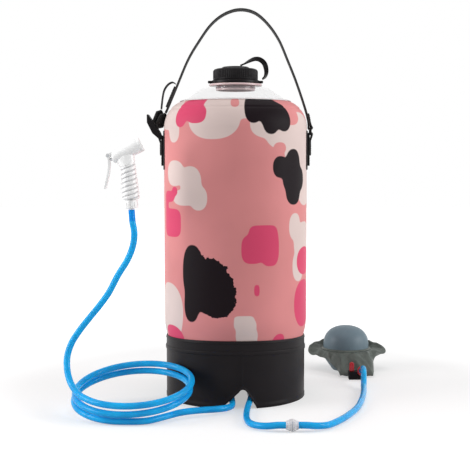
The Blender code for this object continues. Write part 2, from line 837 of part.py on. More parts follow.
def build_fittings(stand):
    """A flange, an elbow and a hose clamp for each hose, under the tank floor."""
    for label, x in (("outlet", OUTLET_X), ("inlet", INLET_X)):
        under = FLOOR_Z - SEAT
        turned(
            f"{label}_flange",
            [
                (FITTING_FLANGE - 0.001, under),
                (FITTING_FLANGE, under - 0.001),
                (FITTING_FLANGE, under - 0.003),
                (STEM_RADIUS + SEAT, under - 0.006),
                (STEM_RADIUS + SEAT, under),
            ],
            BLACK_PLASTIC,
            stand,
            at=(x, FITTING_Y, 0),
            steps=24,
        )
        elbow_top = FLOOR_Z + FLOOR_THICKNESS + 0.003
        route = [(x, FITTING_Y, elbow_top), (x, FITTING_Y, ELBOW_Z + 0.009)]
        route += [(x, FITTING_Y - 0.009 + y, z) for y, z in arc((0, ELBOW_Z + 0.009), 0.009, 0, -90, 6)[1:]]
        route.append((x, FITTING_Y - ELBOW_REACH, ELBOW_Z))
        tube(f"{label}_elbow", route, STEM_RADIUS, BLACK_PLASTIC, stand, rings=3)
        clamp_y = FITTING_Y - ELBOW_REACH - CLAMP_LENGTH / 2 - SEAT
        half = CLAMP_LENGTH / 2
        turned(
            f"{label}_clamp",
            [
                (CLAMP_RADIUS - 0.0008, half),
                (CLAMP_RADIUS, half - 0.0008),
                (CLAMP_RADIUS, -half + 0.0008),
                (CLAMP_RADIUS - 0.0008, -half),
                (HOSE_RADIUS + SEAT, -half),
                (HOSE_RADIUS + SEAT, half),
            ],
            STEEL,
            stand,
            at=(x, clamp_y, ELBOW_Z),
            turn=(math.pi / 2, 0, 0),
            steps=20,
        )


def build_handset(stand):
    hand = empty("handset_frame", stand, HANDSET, (0, HANDSET_LEAN, 0))
    barrel_frame = empty("barrel_frame", hand, BARREL_AT, (0, BARREL_LIFT, 0))
    body = build_barrel(barrel_frame)
    core = turned(
        "core_tool",
        [
            (0, 0.0745),
            (0.0080, 0.0745),
            (GRIP_HIGH_RADIUS - 0.0002, GRIP_TOP + SEAT),
            (CORE_RADIUS, GRIP_TOP + SEAT),
            (CORE_RADIUS, CORE_BOTTOM),
            (0, CORE_BOTTOM),
        ],
        None,
        hand,
        closed=False,
        steps=24,
    )
    combine(body, core, "UNION")
    build_grip(hand)
    build_nut(hand)
    build_trigger(barrel_frame)


def build_barrel(frame):
    end = BARREL_LENGTH
    body = turned(
        "handset_body",
        [
            (0, end - 0.0035),
            (SPRAY_RADIUS + SEAT, end - 0.0035),
            (SPRAY_RADIUS + SEAT, end),
            (BEZEL_RADIUS - 0.0006, end),
            (BEZEL_RADIUS, end - 0.0008),
            (BEZEL_RADIUS, end - 0.0050),
            (BARREL_RADIUS + 0.0003, end - 0.0085),
            (BARREL_RADIUS, end * 0.45),
            (BARREL_RADIUS - 0.0002, 0.0060),
            (BARREL_RADIUS - 0.0012, 0.0018),
            (BARREL_RADIUS - 0.0032, 0.0),
            (PLUNGER_RADIUS + RUN_FIT, 0.0),
            (PLUNGER_RADIUS + RUN_FIT, 0.0120),
            (0, 0.0120),
        ],
        OFF_WHITE,
        frame,
        turn=(0, math.pi / 2, 0),
        closed=False,
        steps=28,
    )
    lug_line = [(0.0060, 0.0030), (0.0060, 0.0078), *arc((PIN_X, PIN_Z), 0.0030, 75, 285, 7)]
    lug = outline("lug_tool", lug_line, LUG_WIDTH, None, frame)
    combine(body, lug, "UNION")
    bore = rod("lug_bore_tool", PIN_RADIUS + SEAT, 0.02, None, frame, (PIN_X, 0, PIN_Z), FLAT, 12)
    combine(body, bore)
    build_spray_plate(frame)
    return body


def build_spray_plate(frame):
    thickness = 0.0016
    face = BARREL_LENGTH - 0.0035 + SEAT
    plate = rod(
        "spray_plate",
        SPRAY_RADIUS,
        thickness,
        OFF_WHITE,
        frame,
        (face + thickness / 2, 0, 0),
        (0, math.pi / 2, 0),
        32,
    )
    holes = bpy.data.meshes.new("spray_holes")
    shape = bmesh.new()
    for count, radius in ((1, 0.0), (5, 0.0030), (9, 0.0060)):
        for number in range(count):
            angle = 2 * math.pi * number / count
            where = Matrix.Translation((radius * math.cos(angle), radius * math.sin(angle), 0))
            bmesh.ops.create_cone(
                shape, cap_ends=True, segments=6, radius1=0.0006, radius2=0.0006, depth=0.004, matrix=where
            )
    shape.to_mesh(holes)
    shape.free()
    tool = place("spray_hole_tool", holes, None, frame, (face, 0, 0), (0, math.pi / 2, 0))
    combine(plate, tool)


def build_grip(hand):
    """A sleeve with three spiral grooves: rings of points whose radius follows the turn of the spiral."""
    shape = bmesh.new()
    bore = CORE_RADIUS + SEAT
    loops = [[shape.verts.new((bore * c, bore * s, GRIP_BOTTOM)) for c, s in unit_circle(GRIP_SIDES)]]
    for k in range(GRIP_RINGS + 1):
        share = k / GRIP_RINGS
        z = GRIP_BOTTOM + (GRIP_TOP - GRIP_BOTTOM) * share
        full = GRIP_LOW_RADIUS + (GRIP_HIGH_RADIUS - GRIP_LOW_RADIUS) * max(0.0, share - 0.15) / 0.85
        rounding = 0.0016 * max(0.0, 1 - share / 0.06) ** 2 + 0.0008 * max(0.0, 1 - (1 - share) / 0.04) ** 2
        ring = []
        for j, (c, s) in enumerate(unit_circle(GRIP_SIDES)):
            phase = GRIP_STARTS * (2 * math.pi * j / GRIP_SIDES) - 2 * math.pi * GRIP_STARTS * z / GRIP_LEAD
            dip = GRIP_GROOVE * max(0.0, math.cos(phase)) ** 2
            radius = full - rounding - dip
            ring.append(shape.verts.new((radius * c, radius * s, z)))
        loops.append(ring)
    loops.append([shape.verts.new((bore * c, bore * s, GRIP_TOP)) for c, s in unit_circle(GRIP_SIDES)])
    for lower, upper in zip(loops, loops[1:] + loops[:1]):
        for j in range(GRIP_SIDES):
            after = (j + 1) % GRIP_SIDES
            shape.faces.new((lower[j], lower[after], upper[after], upper[j]))
    mesh = bpy.data.meshes.new("spiral_grip")
    shape.to_mesh(mesh)
    shape.free()
    mesh.shade_smooth()
    place("spiral_grip", mesh, OFF_WHITE, hand)


def unit_circle(sides):
    return [(math.cos(2 * math.pi * j / sides), math.sin(2 * math.pi * j / sides)) for j in range(sides)]


def build_nut(hand):
    """The fluted nut that holds the hose, turning about the grip's axis, and the ferrule inside it."""
    axis = empty("nut_axis", hand)
    low, high = 0.0014, 0.0014 + NUT_LENGTH
    nut = turned(
        "hose_nut",
        [
            (NUT_RADIUS - 0.0008, high),
            (NUT_RADIUS, high - 0.0010),
            (NUT_RADIUS, low + 0.0012),
            (NUT_RADIUS - 0.0012, low),
            (HOSE_RADIUS + 2 * SEAT, low),
            (HOSE_RADIUS + 2 * SEAT, FERRULE_SEAT),
            (CORE_RADIUS + SEAT, FERRULE_SEAT),
            (CORE_RADIUS + SEAT, high),
        ],
        OFF_WHITE,
        axis,
        steps=24,
    )
    flutes = bpy.data.meshes.new("nut_flutes")
    shape = bmesh.new()
    for number in range(12):
        turn = Matrix.Rotation(2 * math.pi * number / 12, 4, "Z")
        where = Matrix.Translation((NUT_RADIUS + 0.0007, 0, (low + high) / 2))
        bmesh.ops.create_cone(
            shape,
            cap_ends=True,
            segments=6,
            radius1=0.0014,
            radius2=0.0014,
            depth=0.0080,
            matrix=turn @ where,
        )
    shape.to_mesh(flutes)
    shape.free()
    combine(nut, place("nut_flute_tool", flutes, None, axis))
    turned(
        "hose_ferrule",
        [
            (CORE_RADIUS - 0.0006, CORE_BOTTOM - SEAT),
            (CORE_RADIUS - 0.0006, FERRULE_SEAT + SEAT),
            (HOSE_RADIUS, FERRULE_SEAT + SEAT),
            (HOSE_RADIUS, 0.0),
            (HOSE_RADIUS - 0.0015, 0.0),
            (HOSE_RADIUS - 0.0015, CORE_BOTTOM - SEAT),
        ],
        OFF_WHITE,
        hand,
        steps=20,
    )


def build_trigger(frame):
    axis = empty("lever_axis", frame, (PIN_X, 0, PIN_Z))
    middle = [(-0.0034, 0.0060), (-0.0050, 0.0), (-0.0078, -0.0060), (-0.0128, -0.0140), (-0.0266, -0.0308)]
    line = [(x - PIN_X, z - PIN_Z) for x, z in flat_smooth(middle, 0.0035)]
    side = band(line, LEVER_THICKNESS)
    count = len(line)
    tip = line[-1]
    toward = math.degrees(math.atan2(line[-1][1] - line[-2][1], line[-1][0] - line[-2][0]))
    round_end = arc(tip, LEVER_THICKNESS / 2, toward + 90, toward - 90, 6)
    shape_line = side[: count - 1] + round_end + side[count + 1 :]
    lever = outline("trigger_lever", shape_line, LEVER_WIDTH, OFF_WHITE, axis)
    eye = rod("lever_eye_tool", 0.0032, LEVER_WIDTH, None, axis, turn=FLAT, sides=16)
    combine(lever, eye, "UNION")
    fork = box("lever_fork_tool", (0.0092, LUG_WIDTH + 2 * RUN_FIT, 0.0088), None, axis, (0.0014, 0, 0.0004))
    combine(lever, fork)
    hole = rod("lever_bore_tool", PIN_RADIUS + SEAT, 0.03, None, axis, turn=FLAT, sides=12)
    combine(lever, hole)
    rod("lever_pin", PIN_RADIUS, LEVER_WIDTH + 0.0006, STEEL, frame, (PIN_X, 0, PIN_Z), FLAT, 16)
    contact = PLUNGER_FACE_X
    depth = PLUNGER_DEPTH
    slide = empty("plunger_axis", frame)
    rod(
        "plunger",
        PLUNGER_RADIUS,
        depth - contact,
        STEEL,
        slide,
        ((depth + contact) / 2, 0, 0),
        (0, math.pi / 2, 0),
        16,
    )


def coil_point(angle, centre_height):
    """A point of the coil at this many degrees. Its turns pile along the normal of the leaning plane."""
    turn = math.radians(angle)
    uphill = Vector((math.cos(COIL_WAY), math.sin(COIL_WAY), 0))
    across = Vector((-uphill.y, uphill.x, 0))
    up_slope = uphill * math.cos(COIL_LEAN) + Vector((0, 0, math.sin(COIL_LEAN)))
    normal = -uphill * math.sin(COIL_LEAN) + Vector((0, 0, math.cos(COIL_LEAN)))
    flat = Vector((math.cos(turn), math.sin(turn), 0)) * coil_reach(angle)
    height = COIL_PITCH * (COIL_END - angle) / 360
    centre = Vector((*COIL_CENTRE, centre_height))
    return centre + up_slope * flat.dot(uphill) + across * flat.dot(across) + normal * height


def coil_reach(angle):
    """Loose turns are not true circles."""
    return COIL_RADIUS + 0.0020 * math.sin(math.radians(1.3 * angle))


def coil_points():
    count = round((COIL_END - COIL_START) / 360 * COIL_POINTS_PER_TURN)
    angles = [COIL_START + (COIL_END - COIL_START) * k / count for k in range(count + 1)]
    lowest = min(coil_point(a, 0.0).z for a in angles)
    lift = HOSE_RADIUS + FLOOR_GAP - lowest
    return [coil_point(a, lift) for a in angles]


# The shower hose from the handset down to the coil
RISE_ROUTE = [
    (-0.1403, -0.1100, 0.2600),
    (-0.1380, -0.1100, 0.2450),
    (-0.1400, -0.1100, 0.2280),
    (-0.1475, -0.1100, 0.2086),
    (-0.1606, -0.1110, 0.1875),
    (-0.1730, -0.1120, 0.1640),
    (-0.1860, -0.1130, 0.1460),
    (-0.1986, -0.1140, 0.1306),
    (-0.2125, -0.1155, 0.1130),
    (-0.2240, -0.1175, 0.0950),
    (-0.2295, -0.1220, 0.0760),
    (-0.2275, -0.1310, 0.0560),
    (-0.2190, -0.1440, 0.0400),
]

# The shower hose from the coil through the notch to the outlet
RUN_ROUTE = [
    (-0.1255, -0.1925, 0.0048),
    (-0.1160, -0.1893, 0.0048),
    (-0.1082, -0.1841, 0.0050),
    (-0.0990, -0.1757, 0.0055),
    (-0.0896, -0.1674, 0.0062),
    (-0.0818, -0.1616, 0.0070),
    (-0.0739, -0.1572, 0.0080),
    (-0.0600, -0.1508, 0.0086),
    (-0.0430, -0.1436, 0.0084),
    (-0.0280, -0.1368, 0.0078),
    (-0.0165, -0.1292, 0.0072),
    (-0.0083, -0.1180, 0.0066),
    (-0.0046, -0.1050, 0.0063),
    (-0.0046, -0.0920, 0.0083),
    (-0.0060, -0.0800, 0.0122),
]

# The pump hose from the inlet through the notch to the check valve
PUMP_ROUTE_A = [
    (0.0220, -0.0800, 0.0122),
    (0.0198, -0.0920, 0.0085),
    (0.0178, -0.1050, 0.0066),
    (0.0160, -0.1240, 0.0056),
    (0.0149, -0.1430, 0.0050),
    (0.0145, -0.1640, 0.0049),
    (0.0150, -0.1800, 0.0048),
    (0.0172, -0.1970, 0.0048),
    (0.0225, -0.2100, 0.0050),
    (0.0310, -0.2196, 0.0056),
    (0.0418, -0.2257, 0.0068),
]

# The pump hose from the check valve to the foot pump
PUMP_ROUTE_B = [
    (0.1022, -0.2254, 0.0070),
    (0.1130, -0.2190, 0.0058),
    (0.1217, -0.2098, 0.0050),
    (0.1350, -0.1890, 0.0048),
    (0.1500, -0.1590, 0.0048),
    (0.1670, -0.1150, 0.0048),
    (0.1800, -0.0600, 0.0048),
    (0.1885, -0.0080, 0.0048),
    (0.1915, 0.0169, 0.0048),
    (0.1925, 0.0262, 0.0060),
    (0.1937, 0.0349, 0.0096),
    (0.1946, 0.0432, 0.0143),
    (0.1955, 0.0512, 0.0190),
    (0.1963, 0.0599, 0.0226),
    (0.1969, 0.0692, 0.0238),
    (0.1974, 0.0785, 0.0226),
]


def port_direction():
    return Vector((0, -math.cos(PORT_TILT), math.sin(PORT_TILT)))


def port_mouth():
    """Where the hose meets the port of the foot pump's block, from the stand."""
    front = TAIL_Y - SEAT - BLOCK_SIZE[1]
    root = Vector((PORT_X, front + 0.004, BLOCK_SIZE[2] - 0.003))
    return Vector(PUMP) + root + port_direction() * 0.0090


def hose_end(x):
    """Where a hose meets its elbow, inside the clamp."""
    return Vector((x, FITTING_Y - ELBOW_REACH - SEAT, ELBOW_Z))


def build_shower_hose(stand):
    down = Vector((-math.sin(HANDSET_LEAN), 0, -math.cos(HANDSET_LEAN)))
    start = Vector(HANDSET) + down * SEAT
    outlet = hose_end(OUTLET_X)
    before_outlet = outlet - Vector((0, STRAIGHT, 0))
    coil = coil_points()
    way_in = (coil[1] - coil[0]).normalized()
    way_out = (coil[-1] - coil[-2]).normalized()
    lead_in = [start, start + down * STRAIGHT, *RISE_ROUTE, coil[0] - way_in * STRAIGHT, coil[0]]
    lead_out = [coil[-1], coil[-1] + way_out * STRAIGHT, *RUN_ROUTE, before_outlet, outlet]
    rise = squared(lead_in, HOSE_STEP)
    run = squared(lead_out, HOSE_STEP)
    tube("shower_hose_rise", rise, HOSE_RADIUS, HOSE_BLUE, stand)
    tube("shower_hose_coil", shortened(coil, SEAT), HOSE_RADIUS, HOSE_BLUE, stand, rings=1)
    tube("shower_hose_run", run, HOSE_RADIUS, HOSE_BLUE, stand)
    gap = least_gap(coil)
    length = sum(length_of(part) for part in (rise, coil, run))
    print(f"shower hose: length {length:.3f} m, least gap of the coil to itself {gap * 1000:.2f} mm")


def build_pump_hose(stand):
    inlet = hose_end(INLET_X)
    valve = Vector(VALVE_CENTRE)
    reach = Vector((VALVE_LENGTH / 2 + SEAT, 0, 0))
    step_out = Vector((STRAIGHT, 0, 0))
    first = [inlet, inlet - Vector((0, STRAIGHT, 0)), *PUMP_ROUTE_A, valve - reach - step_out, valve - reach]
    mouth = port_mouth() + port_direction() * SEAT
    before_port = mouth + port_direction() * STRAIGHT
    second = [valve + reach, valve + reach + step_out, *PUMP_ROUTE_B, before_port, mouth]
    lines = [squared(first, 0.014), squared(second, HOSE_STEP)]
    tube("pump_hose_a", lines[0], HOSE_RADIUS, HOSE_BLUE, stand)
    tube("pump_hose_b", lines[1], HOSE_RADIUS, HOSE_BLUE, stand)
    print(f"pump hose: length {sum(length_of(line) for line in lines) + VALVE_LENGTH:.3f} m")
    build_check_valve(stand)


def build_check_valve(stand):
    """Two turned halves that meet at a raised rim across the middle."""
    half = VALVE_LENGTH / 2
    for label, side in (("inlet", -1), ("outlet", 1)):
        turned(
            f"check_valve_{label}",
            [
                (0, half),
                (HOSE_RADIUS + 0.0010, half),
                (HOSE_RADIUS + 0.0012, half - 0.0025),
                (VALVE_RADIUS - 0.0012, half - 0.0040),
                (VALVE_RADIUS - 0.0005, half - 0.0060),
                (VALVE_RADIUS, half - 0.0062),
                (VALVE_RADIUS, SEAT / 2),
                (0, SEAT / 2),
            ],
            CLEAR,
            stand,
            at=VALVE_CENTRE,
            turn=(0, side * math.pi / 2, 0),
            closed=False,
            steps=20,
        )


def length_of(points):
    return sum((Vector(b) - Vector(a)).length for a, b in zip(points, points[1:]))


def squared(points, step):
    """A smooth line whose first and last stretch stay straight, so that it meets its neighbours squarely."""
    dense = smooth(points, 0.002)
    start, end = Vector(points[1]), Vector(points[-2])
    first = nearest_index(dense, start)
    last = nearest_index(dense, end)
    middle = [start, *dense[first + 1 : last], end]
    return [Vector(points[0]), *(grounded(p) for p in spaced(middle, step)), Vector(points[-1])]


def grounded(point):
    """The point, raised where a hose round it would reach below the floor."""
    return Vector((point.x, point.y, max(point.z, HOSE_RADIUS + FLOOR_GAP)))


def nearest_index(points, place_of):
    return min(range(len(points)), key=lambda i: (points[i] - place_of).length)


def shortened(points, gap):
    """The line with each end drawn in by the gap."""
    first = points[0] + (points[1] - points[0]).normalized() * gap
    last = points[-1] + (points[-2] - points[-1]).normalized() * gap
    return [first, *points[1:-1], last]


def least_gap(points):
    """The least free space between two turns, on closely spaced points of the same line."""
    dense = spaced(points, 0.002)
    apart = round(4 * HOSE_RADIUS / 0.002)
    nearest = min(
        (dense[i] - dense[j]).length for i in range(len(dense)) for j in range(i + apart, len(dense))
    )
    return nearest - 2 * HOSE_RADIUS


# The seam flange of the foot pump, as angles in degrees and how far it reaches past the pan there
BRIM_RIGHT = [
    (-66, 0.0321),
    (-54, 0.0216),
    (-37, 0.0142),
    (-23, 0.0133),
    (-12, 0.0204),
    (-3, 0.0241),
    (7, 0.0220),
    (16, 0.0163),
    (27, 0.0092),
    (42, 0.0082),
    (65, 0.0074),
]
BRIM_LEFT = [
    (90, 0.0060),
    (115, 0.0074),
    (138, 0.0082),
    (153, 0.0092),
    (164, 0.0163),
    (172, 0.0205),
    (183, 0.0221),
    (193, 0.0185),
    (204, 0.0124),
    (217, 0.0142),
    (234, 0.0216),
    (246, 0.0321),
]


def brim_outline():
    """The flange's edge: lobes to the sides and a straight tail to the front."""
    points = []
    for angle, reach in BRIM_RIGHT + BRIM_LEFT:
        turn = math.radians(angle)
        points.append(((PAN_RADIUS + reach) * math.cos(turn), (PAN_RADIUS + reach) * math.sin(turn)))
    half = TAIL_HALF_WIDTH
    points += [(-half, TAIL_Y + 0.0010), (-half + 0.0025, TAIL_Y), (0.0, TAIL_Y)]
    points += [(half - 0.0025, TAIL_Y), (half, TAIL_Y + 0.0010)]
    return points


def brim_drop(x, y):
    """How far the flange hangs below its seam: the tail reaches the floor and the lobes droop."""
    lobe = 0.0050 * max(0.0, (abs(x) - PAN_RADIUS - 0.0020) / 0.0220) ** 1.5
    tail = (PAN_HEIGHT - 0.0016) * max(0.0, (-y - PAN_RADIUS - 0.0010) / (TAIL_REACH - 0.0010)) ** 1.15
    return min(lobe, 0.0120) + tail


def build_brim(pump):
    """A sheet between the bellows and the flange's outline, drawn as rings that widen outwards."""
    inner = BELLOWS_RADIUS - 0.0030
    rings = 5
    edge = brim_outline()
    shape = bmesh.new()
    loops = []
    for k in range(rings + 1):
        share = k / rings
        loop = []
        for x, y in edge:
            reach = math.hypot(x, y)
            near = inner / reach
            scale = near + (1 - near) * share
            px, py = x * scale, y * scale
            loop.append(shape.verts.new((px, py, PAN_HEIGHT + SEAT + BRIM - brim_drop(px, py))))
        loops.append(loop)
    count = len(edge)
    for lower, upper in zip(loops, loops[1:]):
        for j in range(count):
            following = (j + 1) % count
            shape.faces.new((lower[j], upper[j], upper[following], lower[following]))
    mesh = bpy.data.meshes.new("pump_brim")
    shape.to_mesh(mesh)
    shape.free()
    mesh.shade_smooth()
    brim = place("pump_brim", mesh, SEAM_GREY, pump)
    sheet = brim.modifiers.new("Sheet", "SOLIDIFY")
    sheet.thickness = BRIM
    sheet.offset = -1.0


def build_foot_pump(stand):
    pump = empty("pump_frame", stand, PUMP)
    turned(
        "pump_pan",
        [
            (PAN_RADIUS, PAN_HEIGHT),
            (PAN_RADIUS, 0.0040),
            (PAN_RADIUS - 0.0012, 0.0012),
            (PAN_RADIUS - 0.0040, 0.0),
            (0, 0.0),
            (0, PAN_WALL),
            (PAN_RADIUS - PAN_WALL - 0.0020, PAN_WALL),
            (PAN_RADIUS - PAN_WALL, PAN_WALL + 0.0020),
            (PAN_RADIUS - PAN_WALL, PAN_HEIGHT),
        ],
        SLATE,
        pump,
        steps=32,
    )
    build_brim(pump)
    seam_top = PAN_HEIGHT + SEAT + BRIM + SEAT
    turned(
        "pump_rim",
        [
            (PAN_RADIUS + 0.0008, seam_top + 0.0012),
            (PAN_RADIUS + 0.0012, seam_top),
            (BELLOWS_RADIUS + SEAT, seam_top),
            (BELLOWS_RADIUS + SEAT, seam_top + 0.0026),
            (PAN_RADIUS - 0.0004, seam_top + 0.0026),
        ],
        SLATE,
        pump,
        steps=32,
    )
    build_bellows(pump, seam_top)
    build_block(pump)


def bellows_line(seam_top):
    """The dome's outer side from the crown down to the seam."""
    high = CROWN_EDGE_Z
    line = []
    for k in range(6):
        a = math.radians(90 * k / 5)
        radius = CROWN_RADIUS + (BELLOWS_RADIUS - CROWN_RADIUS) * math.sin(a)
        line.append((radius, seam_top + 0.006 + (high - seam_top - 0.006) * math.cos(a)))
    line.append((BELLOWS_RADIUS, seam_top))
    return line


def build_bellows(pump, seam_top):
    turned("pump_bellows", bellows_line(seam_top), SLATE, pump, closed=False, shell=BELLOWS_WALL, steps=32)
    crown = empty("crown_axis", pump, (0, 0, CROWN_EDGE_Z))
    edge = CROWN_RADIUS - 2 * SEAT
    under = BELLOWS_WALL
    turned(
        "pump_crown",
        [
            (0, PUMP_HEIGHT - CROWN_EDGE_Z),
            (edge * 0.45, PUMP_HEIGHT - CROWN_EDGE_Z - 0.0006),
            (edge * 0.75, PUMP_HEIGHT - CROWN_EDGE_Z - 0.0022),
            (edge, 0.0016),
            (edge, -under),
            (0, -under),
        ],
        SLATE,
        crown,
        closed=False,
        steps=32,
    )
    turned(
        "return_foam",
        [
            (0.0160, CROWN_EDGE_Z - under - SEAT),
            (0.0160, PAN_WALL + SEAT),
            (0.0060, PAN_WALL + SEAT),
            (0.0060, CROWN_EDGE_Z - under - SEAT),
        ],
        FOAM,
        pump,
        steps=24,
    )


def build_block(pump):
    """The valve block at the tail, its hose port with a red collar, and the red plug of its second port."""
    back = TAIL_Y - SEAT
    centre = (BLOCK_X, back - BLOCK_SIZE[1] / 2, BLOCK_SIZE[2] / 2)
    block = box("valve_block", BLOCK_SIZE, BLACK_PLASTIC, pump, centre, bevel=0.0012)
    mouth = port_mouth() - Vector(PUMP)
    way = port_direction()
    tilt = (math.pi / 2 - PORT_TILT, 0, 0)
    stub_length = 0.0100
    stub_centre = mouth - way * stub_length / 2
    stub = rod("port_tool", HOSE_RADIUS + PORT_WALL, stub_length, None, pump, stub_centre, tilt, 24)
    combine(block, stub, "UNION")
    half = COLLAR_LENGTH / 2
    turned(
        "red_collar",
        [
            (COLLAR_RADIUS - 0.0008, half),
            (COLLAR_RADIUS, half - 0.0008),
            (COLLAR_RADIUS, -half),
            (HOSE_RADIUS + SEAT, -half),
            (HOSE_RADIUS + SEAT, half),
        ],
        RED,
        pump,
        at=mouth + way * (half + SEAT),
        turn=tilt,
        steps=24,
    )
    build_plug(pump, block, centre)


def build_plug(pump, block, centre):
    top = BLOCK_SIZE[2]
    at = (PLUG_X, centre[1], top)
    stem = 0.0022
    hole = rod("plug_bore_tool", stem + SEAT, 0.0160, None, pump, at, sides=16)
    combine(block, hole)
    axis = empty("plug_axis", pump, at)
    tab = [(-0.0036, SEAT), (0.0036, SEAT), (0.0036, 0.0105), *arc((0, 0.0105), 0.0036, 20, 160, 6)]
    tab.append((-0.0036, 0.0105))
    plug = outline("port_plug", tab, 0.0050, RED, axis)
    pin = rod("plug_stem_tool", stem, 0.0080, None, axis, (0, 0, -0.0030), sides=16)
    combine(plug, pin, "UNION")


def build():
    stand = empty("stand", None, STAND)
    build_tank(stand)
    ring_top = build_neck(stand)
    build_cap(stand, ring_top)
    build_patches(stand)
    build_carry_strap(stand)
    build_fittings(stand)
    build_handset(stand)
    build_foot_pump(stand)
    build_shower_hose(stand)
    build_pump_hose(stand)


clear_scene()
PARTS = new_collection("solar_shower_bag")
CUTTERS = new_collection("cutters")
CUTTERS.hide_render = True
build()
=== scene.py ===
"""Pressure camp shower in its finished materials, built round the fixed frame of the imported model."""

import json
import math
import random

import bmesh
import bpy
from mathutils import Matrix, Vector, noise

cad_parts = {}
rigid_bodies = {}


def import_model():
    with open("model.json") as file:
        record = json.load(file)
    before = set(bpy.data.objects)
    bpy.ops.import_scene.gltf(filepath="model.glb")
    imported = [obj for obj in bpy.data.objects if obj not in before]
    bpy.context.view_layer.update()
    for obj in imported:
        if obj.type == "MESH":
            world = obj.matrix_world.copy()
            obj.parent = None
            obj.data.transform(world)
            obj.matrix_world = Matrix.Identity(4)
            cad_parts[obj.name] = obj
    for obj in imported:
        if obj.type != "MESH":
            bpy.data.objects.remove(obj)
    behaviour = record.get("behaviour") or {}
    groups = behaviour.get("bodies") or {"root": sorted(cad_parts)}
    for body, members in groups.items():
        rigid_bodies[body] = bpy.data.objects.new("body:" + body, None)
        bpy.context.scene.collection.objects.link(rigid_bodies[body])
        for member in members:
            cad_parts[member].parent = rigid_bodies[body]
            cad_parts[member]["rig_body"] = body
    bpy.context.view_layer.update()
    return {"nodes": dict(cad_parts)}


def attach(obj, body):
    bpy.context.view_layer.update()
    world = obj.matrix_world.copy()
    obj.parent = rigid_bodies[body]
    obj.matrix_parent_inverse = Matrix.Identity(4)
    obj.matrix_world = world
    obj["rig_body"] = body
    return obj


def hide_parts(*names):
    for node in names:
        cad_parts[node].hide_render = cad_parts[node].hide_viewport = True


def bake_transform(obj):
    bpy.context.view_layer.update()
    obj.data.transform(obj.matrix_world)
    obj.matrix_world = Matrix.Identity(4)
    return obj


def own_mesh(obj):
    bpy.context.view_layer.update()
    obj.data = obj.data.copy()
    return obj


bl_info = {
    "name": "Camp Shower Maker",
    "version": (1, 0, 0),
    "blender": (4, 5, 0),
    "location": "View3D > Sidebar > Camp Shower",
    "description": "Makes a standing camp shower with its hose, handset and foot pump, piece by piece",
    "category": "Add Mesh",
}

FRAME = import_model()

# The tank's axis stands here, and every shape is made round it before it is put in place
STAND = Vector((-0.0340, -0.0567, 0.0))

# Tank
TANK_RADIUS = 0.1040
SHOULDER_Z = 0.3890
SHOULDER_RISE = 0.0415
SHOULDER_DEPTH = 0.0360
SHOULDER_END = math.radians(74)
FLOOR_Z = 0.0680
TANK_STEPS = 240

# Base skirt
SKIRT_RADIUS = 0.1012
SKIRT_WALL = 0.0018
SKIRT_TOP = 0.0880
RIM_RISE = 0.0065
NOTCH = ((-0.0181, 0.0), (-0.0180, 0.0020), (0.0049, 0.0231), (0.0075, 0.0262), (0.0105, 0.0270))
NOTCH += ((0.0135, 0.0262), (0.0161, 0.0231), (0.0290, 0.0020), (0.0291, 0.0))

# Neck, cap and tether
NECK_RADIUS = 0.0285
NECK_BORE = 0.0250
NECK_TOP = 0.4700
FLANGE_Z = 0.4510
FLANGE_RADIUS = 0.0385
RING_Z = 0.4547
RING_TOP = 0.4592
CAP_BASE = 0.4596
CAP_CEILING = 0.4724
CAP_TOP = 0.4760
CAP_LEAD = 0.00597
CAP_RADIUS = 0.0325
CAP_BORE = 0.0292
BUTTON_RADIUS = 0.0200
EAR = 0.0400

# Carry strap
WEB_WIDTH = 0.0250
WEB = 0.0018
THIN_WEB = 0.0011
SEAM_Y = 0.0095
TAB_X = 0.1063
WIRE_X = 0.1087
EYE = 0.0024
RING_LOW_Z = 0.3815
RING_HIGH_Z = 0.3910
LOCK_BAR_Z = 0.3775
PIVOT_Z = 0.3500
LOCK_LEAN = math.radians(-26.9)
LOCK_MID = 0.0150

# Hoses
HOSE_RADIUS = 0.0045
HOSE_STEP = 0.0040
STRAIGHT = 0.0100
FLOOR_GAP = 0.0003
SEAT = 0.0003
OUTLET = Vector((-0.0070, -0.0583, 0.0140))
INLET = Vector((0.0240, -0.0583, 0.0140))
COIL_CENTRE = (-0.1397, -0.1167)
COIL_RADIUS = 0.0790
COIL_LEAN = math.radians(12)
COIL_WAY = math.radians(76)
COIL_PITCH = 0.0108
COIL_START = 222
COIL_END = 985
VALVE = Vector((0.0720, -0.2280, 0.0084))
VALVE_RADIUS = 0.0080
VALVE_LENGTH = 0.0160

# Handset, in its own frame: z up the grip from the hose end, x towards the spray
HAND = Matrix.Translation((-0.1416, -0.1100, 0.2774)) @ Matrix.Rotation(math.radians(-4), 4, "Y")
BARREL = HAND @ Matrix.Translation((-0.0206, 0.0, 0.0703)) @ Matrix.Rotation(math.radians(-22.8), 4, "Y")
ALONG_X = Matrix.Rotation(math.radians(90), 4, "Y")
CORE_RADIUS = 0.0074
GRIP_BOTTOM = 0.0140
GRIP_TOP = 0.0640
GRIP_STARTS = 3
GRIP_LEAD = 0.0186
GRIP_GROOVE = 0.0019

# Foot pump, in its own frame on the floor
PUMP = Matrix.Translation((0.1820, 0.1900, 0.0))
PAN_RADIUS = 0.0400
PAN_HEIGHT = 0.0330
SEAM_Z = 0.0333
SEAM_TOP = 0.0350
DOME_BASE = 0.0410
DOME_TOP = 0.0725
DOME_RADIUS = 0.0368
CROWN_RADIUS = 0.0213
BRIM = 0.0014
BRIM_BORE = DOME_RADIUS - 0.0028
PORT_TILT = math.radians(30)
TAIL_Y = -0.0740
TAIL_X = 0.0100
TAIL_HALF_WIDTH = 0.0265
FOLD_RADIUS = 0.0425

# The left lamp is this much stronger than the right one
LEFT_SHARE = 1.18

# Bands in a metre that the wave texture draws at scale 1
BANDS = 3.18


